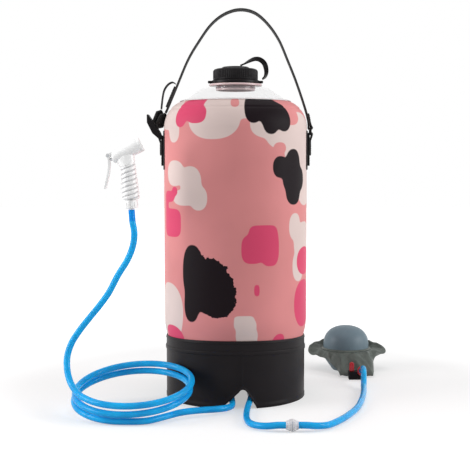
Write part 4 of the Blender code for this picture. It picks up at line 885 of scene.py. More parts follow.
class SHOWER_OT_hoses(bpy.types.Operator):
    """Make the shower hose, the pump hose and the check valve"""

    bl_idname = "shower.hoses"
    bl_label = "Hoses"

    def execute(self, context):
        radius = context.scene.shower_hose.radius
        self.shower_hose(radius)
        self.pump_hose(radius)
        return {"FINISHED"}

    def shower_hose(self, radius):
        hose_end = HAND @ Vector((0, 0, -SEAT))
        down = (HAND.to_3x3() @ Vector((0, 0, -1))).normalized()
        coil = coil_points()
        way_in = (coil[1] - coil[0]).normalized()
        way_out = (coil[-1] - coil[-2]).normalized()
        lead_in = [hose_end, hose_end + down * STRAIGHT, *RISE_ROUTE, coil[0] - way_in * STRAIGHT, coil[0]]
        lead_out = [coil[-1], coil[-1] + way_out * STRAIGHT, *RUN_ROUTE]
        lead_out += [OUTLET - Vector((0, STRAIGHT, 0)), OUTLET]
        rise = squared(lead_in, HOSE_STEP)
        run = squared(lead_out, HOSE_STEP)
        points = [STAND + p for p in rise[:-1] + coil[:-1] + run]
        nodes = ("shower_hose_rise", "shower_hose_coil", "shower_hose_run")
        hose = tube_curve("shower_hose", points, radius, "blue hose", "tank", nodes)

    def pump_hose(self, radius):
        reach = Vector((VALVE_LENGTH / 2 + SEAT, 0, 0))
        out = Vector((STRAIGHT, 0, 0))
        first = [INLET, INLET - Vector((0, STRAIGHT, 0)), *PUMP_ROUTE_A, VALVE - reach - out, VALVE - reach]
        mouth, way = port_line()
        mouth = mouth + way * SEAT
        second = [VALVE + reach, VALVE + reach + out, *PUMP_ROUTE_B, mouth + way * STRAIGHT, mouth]
        line = squared(first, HOSE_STEP) + squared(second, HOSE_STEP)
        points = [STAND + p for p in line]
        hose = tube_curve("pump_hose", points, radius, "blue hose", "tank", ("pump_hose_a", "pump_hose_b"))
        valve = self.check_valve()

    def check_valve(self):
        """Two turned halves with ribs round their grip, welded at a rim."""
        half = VALVE_LENGTH / 2
        bore = HOSE_RADIUS + 0.0002
        profile = [
            (bore, half), (HOSE_RADIUS + 0.0011, half), (HOSE_RADIUS + 0.0013, half - 0.0026),
            (VALVE_RADIUS - 0.0012, half - 0.0038), (VALVE_RADIUS - 0.0007, half - 0.0050),
            (VALVE_RADIUS - 0.0006, 0.0020), (VALVE_RADIUS, 0.0017), (VALVE_RADIUS, SEAT / 2),
            (bore, SEAT / 2),
        ]

        def ribs(angle, radius, height):
            grip = 0.0020 < height < half - 0.0040 and radius > VALVE_RADIUS - 0.0030
            return 0.0003 * math.cos(16 * angle) if grip else 0.0

        halves = []
        for label, side in (("inlet", -1), ("outlet", 1)):
            name, nodes = f"valve_{label}_half", (f"check_valve_{label}",)
            frame = Matrix.Translation(VALVE) @ Matrix.Rotation(side * math.pi / 2, 4, "Y")
            options = {"segments": 3, "rule": ribs, "at": frame}
            halves.append(turned(name, profile, 0.0004, 96, "milky plastic", "tank", nodes, **options))
        return halves


# Patches of the print in millimetres: along the sleeve from the middle of the front, height, half width,
# half height, and for the squarer ones how square
PALE = [
    (-32, 405, 39, 32), (9, 419, 28, 18), (-124, 408, 32, 21), (-103, 386, 14, 17), (44, 394, 24, 19),
    (76, 384, 35, 26), (115, 367, 42, 45), (129, 312, 27, 32), (-101, 326, 22, 18), (-68, 313, 19, 23),
    (-54, 292, 14, 17), (-80, 292, 25, 11), (98, 251, 14, 19), (126, 228, 31, 29), (108, 195, 16, 22),
    (-119, 129, 37, 41), (12, 121, 14, 9, 5), (15, 109, 14, 14, 5), (17, 93, 15, 16, 5),
]
ROSE = [
    (-87, 414, 14, 24), (-59, 407, 16, 12, 2.6), (-74, 424, 22, 13), (-101, 301, 7, 6), (-117, 293, 16, 8),
    (-127, 281, 6, 14), (-110, 256, 24, 20, 4), (24, 222, 16, 20, 3), (40, 231, 22, 24, 5),
    (50, 222, 14, 24, 3), (129, 201, 26, 20), (126, 140, 30, 34), (-111, 91, 27, 19), (68, 86, 12, 16),
    (30, 165, 4, 8, 3),
]
BLACK = [
    (25, 413, 12, 18), (51, 417, 23, 23), (51, 403, 14, 23), (73, 404, 14, 20), (67, 335, 13, 15),
    (93, 334, 18, 26), (97, 318, 26, 20), (94, 302, 17, 20), (-64, 189, 18, 38), (-51, 173, 24, 39),
    (-25, 159, 26, 32), (-66, 144, 13, 25), (-34, 180, 25, 28),
]
BARE = [(88, 410, 22, 17), (-1, 424, 7, 7), (66, 361, 11, 8)]


def far_side(rng, count, spread):
    """Patches of the same kind for the part of the sleeve that faces away, three or four lobes each."""
    lobes = []
    for _ in range(count):
        s, z = rng.uniform(172, 481), rng.uniform(80, 425)
        for _ in range(rng.choice((3, 4))):
            middle = (s + rng.uniform(-spread, spread), z + rng.uniform(-spread, spread))
            lobes.append((*middle, rng.uniform(0.45, 0.9) * spread, rng.uniform(0.5, 1.0) * spread))
    return lobes


def depth_in(lobes, s, z):
    """How far inside the joined lobes a point lies, in metres, with their meeting corners rounded."""
    turn = 2000 * math.pi * TANK_RADIUS
    blend = 5.0
    depth = -60.0
    for middle, height, half_width, half_height, *shape in lobes:
        across = (s - middle + turn / 2) % turn - turn / 2
        dz = z - height
        if abs(across) > 3 * half_width + 30 or abs(dz) > 3 * half_height + 30:
            continue
        square = shape[0] if shape else 2.3
        reach = (abs(across / half_width) ** square + abs(dz / half_height) ** square) ** (1 / square)
        inside = (1 - reach) * min(half_width, half_height)
        share = unit(0.5 + 0.5 * (inside - depth) / blend)
        depth = depth + (inside - depth) * share + blend * share * (1 - share)
    return depth / 1000


class SHOWER_OT_tank(bpy.types.Operator):
    """Make the printed sleeve, the clear shoulder with its weld, and finish the floor panel"""

    bl_idname = "shower.tank"
    bl_label = "Tank"

    def execute(self, context):
        self.sleeve(context.scene.shower_print)
        self.shoulder()
        carried("black vinyl", "tank_floor")
        return {"FINISHED"}

    def sleeve(self, settings):
        tucked = SKIRT_RADIUS - SKIRT_WALL - SEAT
        waist = 0.115
        line = []
        for k in range(45):
            a = SHOULDER_END * (1 - k / 44)
            radius = TANK_RADIUS - SHOULDER_DEPTH * (1 - math.cos(a))
            line.append((radius, SHOULDER_Z + SHOULDER_RISE * math.sin(a)))
        for k in range(1, 92):
            line.append((TANK_RADIUS, SHOULDER_Z + (waist - SHOULDER_Z) * k / 91))
        for k in range(1, 11):
            t = k / 10
            radius = TANK_RADIUS + (tucked - TANK_RADIUS) * t**1.8
            line.append((radius, waist + (SKIRT_TOP - 0.001 - waist) * t))
        line += [(tucked, 0.080), (tucked, FLOOR_Z)]
        shape = spun(line, TANK_STEPS)
        raise_front(shape)
        self.lay_print(shape)
        shifted(shape, lambda angle, radius, z: self.relief(settings.crease, angle, z))
        sleeve = piece("printed_sleeve", shape, "printed vinyl", "tank", ("tank_wall",))
        thicken(sleeve, 0.0015)

    def lay_print(self, shape):
        """Writes how deep each point lies in each ink, and its place on the flat sleeve for the scrim."""
        rng = random.Random(23)
        layers = {
            "pale": PALE + far_side(rng, 9, 30),
            "rose": ROSE + far_side(rng, 8, 20),
            "black": BLACK + far_side(rng, 6, 24),
        }
        slots = {name: shape.verts.layers.float.new(name) for name in layers}
        rubbed = shape.verts.layers.float.new("rubbed")
        wrap = shape.verts.layers.float_vector.new("wrap")
        for vert in shape.verts:
            angle = math.atan2(vert.co.x, -vert.co.y)
            s, z = 1000 * TANK_RADIUS * angle, 1000 * vert.co.z
            for name, lobes in layers.items():
                depth = depth_in(lobes, s, z)
                if name == "pale":
                    depth = min(depth, -depth_in(BARE, s, z))
                vert[slots[name]] = depth
            vert[rubbed] = 0.014 * max(0.0, 1 - ((s + 12) / 42) ** 4) * max(0.0, 1 - ((z - 178) / 62) ** 4)
            vert[wrap] = (s / 1000, z / 1000, 0.0)

    def relief(self, crease, angle, z):
        """The welded seam round the shoulder, the lap seam up the back, and soft creases between them."""
        front = math.atan2(math.cos(angle), -math.sin(angle))
        seam = -0.0008 * math.exp(-(((z - 0.4177) / 0.0011) ** 2))
        seam += 0.0003 * math.exp(-(((z - 0.4203) / 0.0012) ** 2))
        lap = 0.0006 / (1 + math.exp((abs(abs(front) - math.pi) - 0.045) / 0.006))
        quiet = unit((0.412 - z) / 0.03) * unit((z - 0.092) / 0.02)
        where = Vector((math.cos(angle) * 1.6, math.sin(angle) * 1.6, z * 9.0))
        soft = noise.noise(where + Vector((3.1, 0.0, 0.0))) * 0.5 - 0.35
        return seam + lap + crease * soft * quiet

    def shoulder(self):
        """The dome of clear film, a little puckered where it is welded to the sleeve and to the neck."""
        edge = TANK_RADIUS - SHOULDER_DEPTH * (1 - math.cos(SHOULDER_END)) - 0.0004
        edge_z = SHOULDER_Z + SHOULDER_RISE * math.sin(SHOULDER_END)
        top = FLANGE_Z - SEAT
        knots = [
            (NECK_RADIUS + SEAT, top), (FLANGE_RADIUS, top - 0.0001), (0.0475, top - 0.0030),
            (0.0570, edge_z + 0.0128), (0.0670, edge_z + 0.0060), (edge, edge_z),
        ]
        shape = spun(flat_smooth(knots, 0.0016), TANK_STEPS)
        for vert in shape.verts:
            angle, radius = polar(vert)
            pull = math.sin(math.pi * unit((radius - 0.042) / 0.03))
            pucker = math.sin(31 * angle + 1.7 * math.sin(5 * angle))
            vert.co.z += 0.0005 * pucker * (0.4 + 0.6 * math.sin(3 * angle + 1) ** 2) * pull
        dome = piece("clear_dome", shape, "clear vinyl", "tank", ("clear_shoulder",))
        thicken(dome, 0.0012)
        mid = edge + 0.0004
        low = edge_z + 0.0008
        profile = [(mid - 0.0026, low + 0.0006), (mid, low + 0.0009), (mid + 0.0026, low - 0.0004)]
        profile += [(mid + 0.0026, low - 0.0009), (mid, low + 0.0002), (mid - 0.0026, low)]
        settings = ("frosted weld", "tank", ("shoulder_weld",))
        turned("shoulder_bead", profile, 0.0003, TANK_STEPS, *settings, segments=3)


def raise_front(shape):
    """The skirt's rim stands higher at the front than at the back, and the sleeve's foot goes with it."""
    for vert in shape.verts:
        facing = -vert.co.y / max(0.001, polar(vert)[1])
        share = unit((vert.co.z - 0.030) / 0.040) * unit((0.150 - vert.co.z) / 0.055)
        vert.co.z += RIM_RISE * ((1 + facing) / 2) ** 2 * share


def notch_height(x):
    """How high the notch in the skirt is cut at this distance to the right of its middle plane."""
    for (x0, z0), (x1, z1) in zip(NOTCH, NOTCH[1:]):
        if x0 <= x <= x1:
            return z0 + (z1 - z0) * (x - x0) / (x1 - x0)
    return 0.0


class SHOWER_OT_skirt(bpy.types.Operator):
    """Make the base skirt with its notch and the welded bands round it"""

    bl_idname = "shower.skirt"
    bl_label = "Base skirt"

    def execute(self, context):
        self.skirt()
        for name, z, height, proud, nodes in (
            ("skirt_band", 0.0710, 0.0058, 0.0011, ("skirt_weld_band",)),
            ("skirt_top_bead", 0.0848, 0.0022, 0.0006, ()),
        ):
            outside, inside = SKIRT_RADIUS + proud, SKIRT_RADIUS + 0.0001
            high, low = z + height / 2, z - height / 2
            band = [(outside, high - 0.0006), (outside, low + 0.0006), (inside, low), (inside, high)]
            shape = spun(rounded(band, 0.0005, 3), TANK_STEPS, closed=True)
            shifted(shape, self.wave)
            raise_front(shape)
            piece(name, shape, "black vinyl", "tank", nodes)
        return {"FINISHED"}

    def wave(self, angle, radius, z):
        """The lap where the skirt's strip meets itself beside the notch, and its soft waves lower down."""
        past = SKIRT_RADIUS * math.cos(angle) - 0.0095
        lap = 0.0
        if math.sin(angle) < 0 and past > 0:
            lap = 0.0018 * math.exp(-((past / 0.022) ** 2)) * unit((0.080 - z) / 0.01)
        soft = noise.noise(Vector((math.cos(angle) * 2.2, math.sin(angle) * 2.2, z * 6))) * 0.0008
        return lap + soft * max(0.0, 1 - z / 0.075)

    def skirt(self):
        bore = SKIRT_RADIUS - SKIRT_WALL
        outer = [(SKIRT_RADIUS - 0.0003, SKIRT_TOP), (SKIRT_RADIUS, SKIRT_TOP - 0.0006)]
        outer += [(SKIRT_RADIUS, SKIRT_TOP - 0.0006 - 0.0030 * k) for k in range(1, 27)]
        outer += [(SKIRT_RADIUS, 0.0062), (SKIRT_RADIUS + 0.0005, 0.0050), (SKIRT_RADIUS + 0.0005, 0.0006)]
        outer += [(SKIRT_RADIUS, 0.0), (SKIRT_RADIUS - 0.0040, 0.0), (SKIRT_RADIUS - 0.0045, 0.0006)]
        outer += [(SKIRT_RADIUS - 0.0045, 0.0050), (bore, 0.0062), (bore, 0.0300), (bore, SKIRT_TOP)]
        shape = spun(outer, 360, closed=True)
        shifted(shape, self.wave)
        raise_front(shape)
        span = 0.060
        for vert in shape.verts:
            if vert.co.y < -0.08 and vert.co.z < span:
                rise = notch_height(vert.co.x)
                vert.co.z = rise + vert.co.z * (span - rise) / span
        piece("skirt", shape, "black vinyl", "tank", ("base_skirt",), sharp=50.0)


class SHOWER_OT_cap(bpy.types.Operator):
    """Make the filler neck with its thread, the ribbed screw cap, the gasket and the tether"""

    bl_idname = "shower.cap"
    bl_label = "Neck and cap"

    def execute(self, context):
        self.neck()
        self.cap()
        self.tether()
        return {"FINISHED"}

    def neck(self):
        profile = [
            (NECK_RADIUS, NECK_TOP), (NECK_RADIUS, FLANGE_Z + 0.0036),
            (FLANGE_RADIUS - 0.0006, FLANGE_Z + 0.0030), (FLANGE_RADIUS, FLANGE_Z + 0.0018),
            (FLANGE_RADIUS, FLANGE_Z), (NECK_RADIUS, FLANGE_Z), (NECK_RADIUS, 0.4445), (NECK_BORE, 0.4445),
            (NECK_BORE, NECK_TOP),
        ]
        turned("neck", profile, 0.0008, 128, "neck vinyl", "tank", ("filler_neck",))
        # Two starts, and each climbs in one turn what the cap rises in one turn of its joint
        thread = bmesh.new()
        inner, outer = NECK_RADIUS - 0.0002, NECK_RADIUS + 0.0005
        turns, steps = 1.3, 90
        for side in (1, -1):
            ridge = [(side * inner, 0, 0), (side * outer, 0, 0.0006)]
            ridge += [(side * outer, 0, 0.0010), (side * inner, 0, 0.0016)]
            bmesh.ops.spin(
                thread,
                geom=line_of(thread, ridge, closed=True),
                cent=(0, 0, 0),
                axis=(0, 0, 1),
                dvec=(0, 0, CAP_LEAD * turns / steps),
                angle=math.tau * turns,
                steps=steps,
                use_merge=False,
            )
        bmesh.ops.holes_fill(thread, edges=[e for e in thread.edges if e.is_boundary], sides=4)
        bmesh.ops.recalc_face_normals(thread, faces=thread.faces)
        piece("neck_thread", thread, "neck vinyl", "tank", at=Matrix.Translation((0, 0, 0.4602)))

    def cap(self):
        ribs = 72
        profile = [
            (0, CAP_TOP), (CAP_RADIUS - 0.0050, CAP_TOP), (CAP_RADIUS - 0.0022, CAP_TOP - 0.0008),
            (CAP_RADIUS - 0.0005, CAP_TOP - 0.0026), (CAP_RADIUS, CAP_TOP - 0.0040),
            (CAP_RADIUS, CAP_BASE + 0.0022), (CAP_RADIUS, CAP_BASE + 0.0018),
            (CAP_RADIUS, CAP_BASE + 0.0004), (CAP_RADIUS - 0.0004, CAP_BASE), (CAP_BORE, CAP_BASE),
            (CAP_BORE, CAP_CEILING), (0, CAP_CEILING),
        ]
        shape = spun(profile, ribs * 6)

        def fluting(angle, radius, z):
            if radius < CAP_RADIUS - 0.0008 or not CAP_BASE + 0.0020 < z < CAP_TOP - 0.0035:
                return 0.0
            return -0.0009 * max(0.0, math.cos(ribs * angle)) ** 0.6

        shifted(shape, fluting)
        piece("screw_lid", shape, "black plastic", "cap", ("screw_cap",), sharp=60.0)
        low, high = CAP_CEILING - SEAT - 0.0018, CAP_CEILING - SEAT
        bore = NECK_BORE - 0.001
        gasket = [(NECK_RADIUS, high), (NECK_RADIUS, low), (bore, low), (bore, high)]
        turned("gasket", gasket, 0.0005, 96, "seal rubber", "cap", ("cap_gasket",))

    def tether(self):
        low = CAP_TOP + SEAT
        profile = [
            (0, low + 0.0030), (BUTTON_RADIUS - 0.0075, low + 0.0030),
            (BUTTON_RADIUS - 0.0070, low + 0.0024), (BUTTON_RADIUS - 0.0062, low + 0.0024),
            (BUTTON_RADIUS - 0.0057, low + 0.0029), (BUTTON_RADIUS - 0.0018, low + 0.0024),
            (BUTTON_RADIUS - 0.0004, low + 0.0016), (BUTTON_RADIUS, low + 0.0008), (BUTTON_RADIUS, low),
            (0, low),
        ]
        piece("tether_disc", spun(profile, 128), "black plastic", "cap_tether", ("tether_button",))
        ring = [
            (0.0345, RING_TOP), (0.0345, RING_Z), (NECK_RADIUS + 0.0004, RING_Z),
            (NECK_RADIUS + 0.0004, RING_TOP),
        ]
        shape = spun(rounded(ring, 0.0009), 160, closed=True)
        root = 0.0315
        for side in (-1, 1):
            middle = (side * (EAR + root) / 2, 0, (RING_Z + RING_TOP) / 2)
            size = Matrix.Diagonal((EAR - root, 0.011, 0.0035, 1.0))
            made = bmesh.ops.create_cube(shape, size=1.0, matrix=Matrix.Translation(middle) @ size)
            edges = list({e for v in made["verts"] for e in v.link_edges})
            bmesh.ops.bevel(
                shape, geom=edges, offset=0.0012, segments=3, profile=0.5, affect="EDGES", material=-1
            )
        piece("tether_collar", shape, "black plastic", "tank", ("tether_ring",))
        rise = low + 0.0030 + SEAT
        route = [
            (0.0070, rise + 0.0012), (0.0130, rise + 0.0038), (0.0215, rise + 0.0083),
            (EAR - 0.0110, rise + 0.0108), (EAR - 0.0035, rise + 0.0092), (EAR + 0.0025, rise + 0.0030),
            (EAR + 0.0047, CAP_TOP - 0.0035), (EAR + 0.0030, CAP_TOP - 0.0110),
            (EAR - 0.0012, CAP_BASE + 0.0016),
        ]

        def narrow(share):
            return 1.0 + 0.35 * max(0.0, abs(2 * share - 1) - 0.7) / 0.3

        def roll(share):
            return math.radians(58) * math.sin(math.pi * share**1.3)

        shape = ribbon(flat_smooth(route, 0.0012), 0.0080, 6, narrow, roll)
        strap = piece("tether_band", shape, "black plastic", None, ("tether_strap",))
        thicken(strap, 0.0022, 0.0)
        soften(strap, 0.0006, 3)
        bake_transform(strap)


def above(rise):
    """The height of something that sits this far above the top of the printed side."""
    return SHOULDER_Z + rise


def beside(path, distance):
    """The path moved sideways, to the left of its own direction."""
    moved = []
    for i, point in enumerate(path):
        before = Vector(path[max(i - 1, 0)])
        after = Vector(path[min(i + 1, len(path) - 1)])
        along = (after - before).normalized()
        moved.append((point[0] - along.y * distance, point[1] + along.x * distance))
    return moved


class SHOWER_OT_strap(bpy.types.Operator):
    """Make the carry strap with its tabs, ring, ladder lock, patches and sewing"""

    bl_idname = "shower.strap"
    bl_label = "Carry strap"

    def execute(self, context):
        line = self.main_band()
        self.left_layers(line)
        self.tabs()
        self.ring()
        self.lock()
        for side in ("left", "right"):
            eased_copy(f"{side}_patch", f"{side}_anchor_patch", "welded vinyl", 0.0003)
        return {"FINISHED"}

    def band(self, name, path, thickness, body, nodes, roll=None):
        shape = ribbon(path, WEB_WIDTH, 8, roll=roll)
        strip = piece(name, shape, "webbing", body, nodes, sharp=60.0)
        thicken(strip, thickness, 0.0)
        return soften(strip, 0.00035)

    def main_band(self):
        """From its sewn tail round the ring, over the top and down to the lock."""
        route = [
            (TAB_X, RING_HIGH_Z), (TAB_X - 0.0005, above(0.0110)), (TAB_X - 0.0053, above(0.0300)),
            (0.828 * TAB_X, above(0.0680)), (0.710 * TAB_X, above(0.0990)), (0.591 * TAB_X, above(0.1280)),
            (0.439 * TAB_X, above(0.1510)), (0.261 * TAB_X, above(0.1670)), (0.053 * TAB_X, above(0.1716)),
            (-0.154 * TAB_X, above(0.1650)), (-0.334 * TAB_X, above(0.1500)),
            (-0.498 * TAB_X, above(0.1260)), (-0.649 * TAB_X, above(0.0990)),
            (-TAB_X + 0.0194, above(0.0570)), (-TAB_X + 0.0073, above(0.0286)),
            (-TAB_X + 0.0049, above(0.0235)),
        ]
        line = flat_smooth(route, 0.0040)
        tail = [
            (TAB_X - 0.0010, above(0.0225)), (TAB_X + 0.0014, above(0.0110)),
            (TAB_X + 0.0030, above(0.0052)),
        ]
        loop = arc((WIRE_X, RING_HIGH_Z), EYE, 0, -170, 8)
        path = flat_smooth(tail, 0.0030) + loop + line
        self.band("strap_band", path, WEB, "carry_strap", ("carry_strap",))
        low, high = (TAB_X + 0.0022, above(0.0125)), (TAB_X + 0.0005, above(0.0205))
        rows = [((x, -SEAM_Y, z), (x, SEAM_Y, z)) for x, z in (low, high)]
        rows += [((low[0], y, low[1]), (high[0], y, high[1])) for y in (-SEAM_Y, SEAM_Y)]
        stitches("ring_end_sewing", rows)
        return line

    def left_layers(self, line):
        layer = [p for p in line if p[0] < 0 and above(0.0305) < p[1] < above(0.0610)][::-1]
        outer = beside(layer, WEB + SEAT)
        self.band("sewn_layer", outer, WEB, "carry_strap", ("strap_second_layer",))
        face = beside(layer, 1.5 * WEB + SEAT + 0.0001)
        half = 0.0100
        rows = [((x, -half, z), (x, half, z)) for x, z in (face[1], face[-2])]
        for y in (-half, half):
            rows += [((a[0], y, a[1]), (b[0], y, b[1])) for a, b in zip(face[1:-1], face[2:-1])]
        stitches("layer_sewing", rows)
        tail = [
            (-TAB_X - 0.0013, above(0.0288)), (-TAB_X + 0.0007, above(0.0460)),
            (-TAB_X + 0.0033, above(0.0566)), (-TAB_X + 0.0083, above(0.0640)),
            (-TAB_X + 0.0148, above(0.0676)), (-TAB_X + 0.0195, above(0.0655)),
        ]
        self.band("tail_loop", flat_smooth(tail, 0.0025), THIN_WEB, "carry_strap", ("strap_tail_loop",))

    def tabs(self):
        """Each tab runs up from its patch, round its wire or bar, and back down on itself."""
        for label, side, eye_z in (("right", 1, RING_LOW_Z), ("left", -1, LOCK_BAR_Z)):
            loop = arc((WIRE_X, eye_z), EYE, 180, 0, 10)
            outside = TAB_X + WEB + 0.0002
            back = [(TAB_X + 0.0038, eye_z - 0.0040), (outside, eye_z - 0.0090)]
            back += [(outside, PIVOT_Z + 0.0100), (outside, PIVOT_Z + 0.0010)]
            count = int((eye_z - PIVOT_Z + 0.0130) / 0.004)
            up = [(TAB_X, PIVOT_Z - 0.0140 + 0.0040 * k) for k in range(count)]
            path = [(side * x, z) for x, z in up + loop + back]
            self.band(f"{label}_webbing_tab", path, WEB, "carry_strap", (f"{label}_tab",))
            rows = []
            for x, low, high in (
                (TAB_X + 1.5 * WEB + 0.0003, PIVOT_Z + 0.0030, PIVOT_Z + 0.0160),
                (TAB_X + 0.5 * WEB + 0.0001, PIVOT_Z - 0.0120, PIVOT_Z - 0.0020),
            ):
                box = ((-SEAM_Y, low), (SEAM_Y, low), (SEAM_Y, high), (-SEAM_Y, high))
                corners = [(side * x, y, z) for y, z in box]
                rows += [(corners[i], corners[(i + 1) % 4]) for i in range(4)]
                rows += [(corners[0], corners[2]), (corners[1], corners[3])]
            stitches(f"{label}_tab_sewing", rows)

    def ring(self):
        corner, half = 0.003, 0.0148
        points = []
        for y_side, z, start in (
            (1, RING_HIGH_Z - corner, 0), (-1, RING_HIGH_Z - corner, 90), (-1, RING_LOW_Z + corner, 180),
            (1, RING_LOW_Z + corner, 270),
        ):
            bend = arc((y_side * (half - corner), z), corner, start, start + 90, 8)
            points += [STAND + Vector((WIRE_X, y, z)) for y, z in bend]
        tube_curve("wire_ring", points, 0.0011, "black plastic", "carry_strap", ("right_ring",), cyclic=True)

    def lock(self):
        eased_copy("ladder_lock", "strap_lock", "black plastic", 0.0006)
        mid = (LOCK_MID * math.sin(LOCK_LEAN) - WIRE_X, LOCK_BAR_Z + LOCK_MID * math.cos(LOCK_LEAN))
        bend = arc(mid, EYE, -25, -205, 14)
        dense = [(-TAB_X + 0.0047, above(0.0232)), *bend, (-TAB_X - 0.0011, above(0.0276))]
        route = [(p.x, p.y) for p in spaced([Vector((*point, 0.0)) for point in dense], 0.0010)]

        def roll(share):
            """Both layers are twisted the same way between the bar and their ends."""
            bumps = [unit(3 - abs(share - middle) / 0.063) for middle in (0.21, 0.79)]
            return math.radians(24) * (bumps[0] - bumps[1])

        wrap = self.band("lock_wrap", route, WEB, None, ("strap_wrap",), roll)
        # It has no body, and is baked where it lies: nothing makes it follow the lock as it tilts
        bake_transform(wrap)


def slab(points, width):
    """A flat outline of x, z pairs with its thickness along y."""
    shape = bmesh.new()
    face = shape.faces.new([shape.verts.new((x, -width / 2, z)) for x, z in points])
    grown = bmesh.ops.extrude_face_region(shape, geom=[face])["geom"]
    verts = [g for g in grown if isinstance(g, bmesh.types.BMVert)]
    bmesh.ops.translate(shape, verts=verts, vec=(0, width, 0))
    bmesh.ops.recalc_face_normals(shape, faces=shape.faces)
    return shape


def round_hose(outside, half):
    """The profile of a ring that fits round a hose, this far out and half this wide."""
    bore = HOSE_RADIUS + SEAT
    return [(outside, half), (outside, -half), (bore, -half), (bore, half)]


class SHOWER_OT_fittings(bpy.types.Operator):
    """Finish the flanges, elbows and clamps under the tank"""

    bl_idname = "shower.fittings"
    bl_label = "Fittings"

    def execute(self, context):
        carried("black plastic", "outlet_flange", "inlet_flange", "outlet_elbow", "inlet_elbow")
        for label, place in (("outlet", OUTLET), ("inlet", INLET)):
            half = 0.0045
            frame = Matrix.Translation(place - Vector((0, half, 0))) @ Matrix.Rotation(math.pi / 2, 4, "X")
            settings = ("plated steel", "tank", (f"{label}_clamp",))
            turned(f"{label}_hose_clamp", round_hose(0.0075, half), 0.0007, 64, *settings, at=frame)
        return {"FINISHED"}


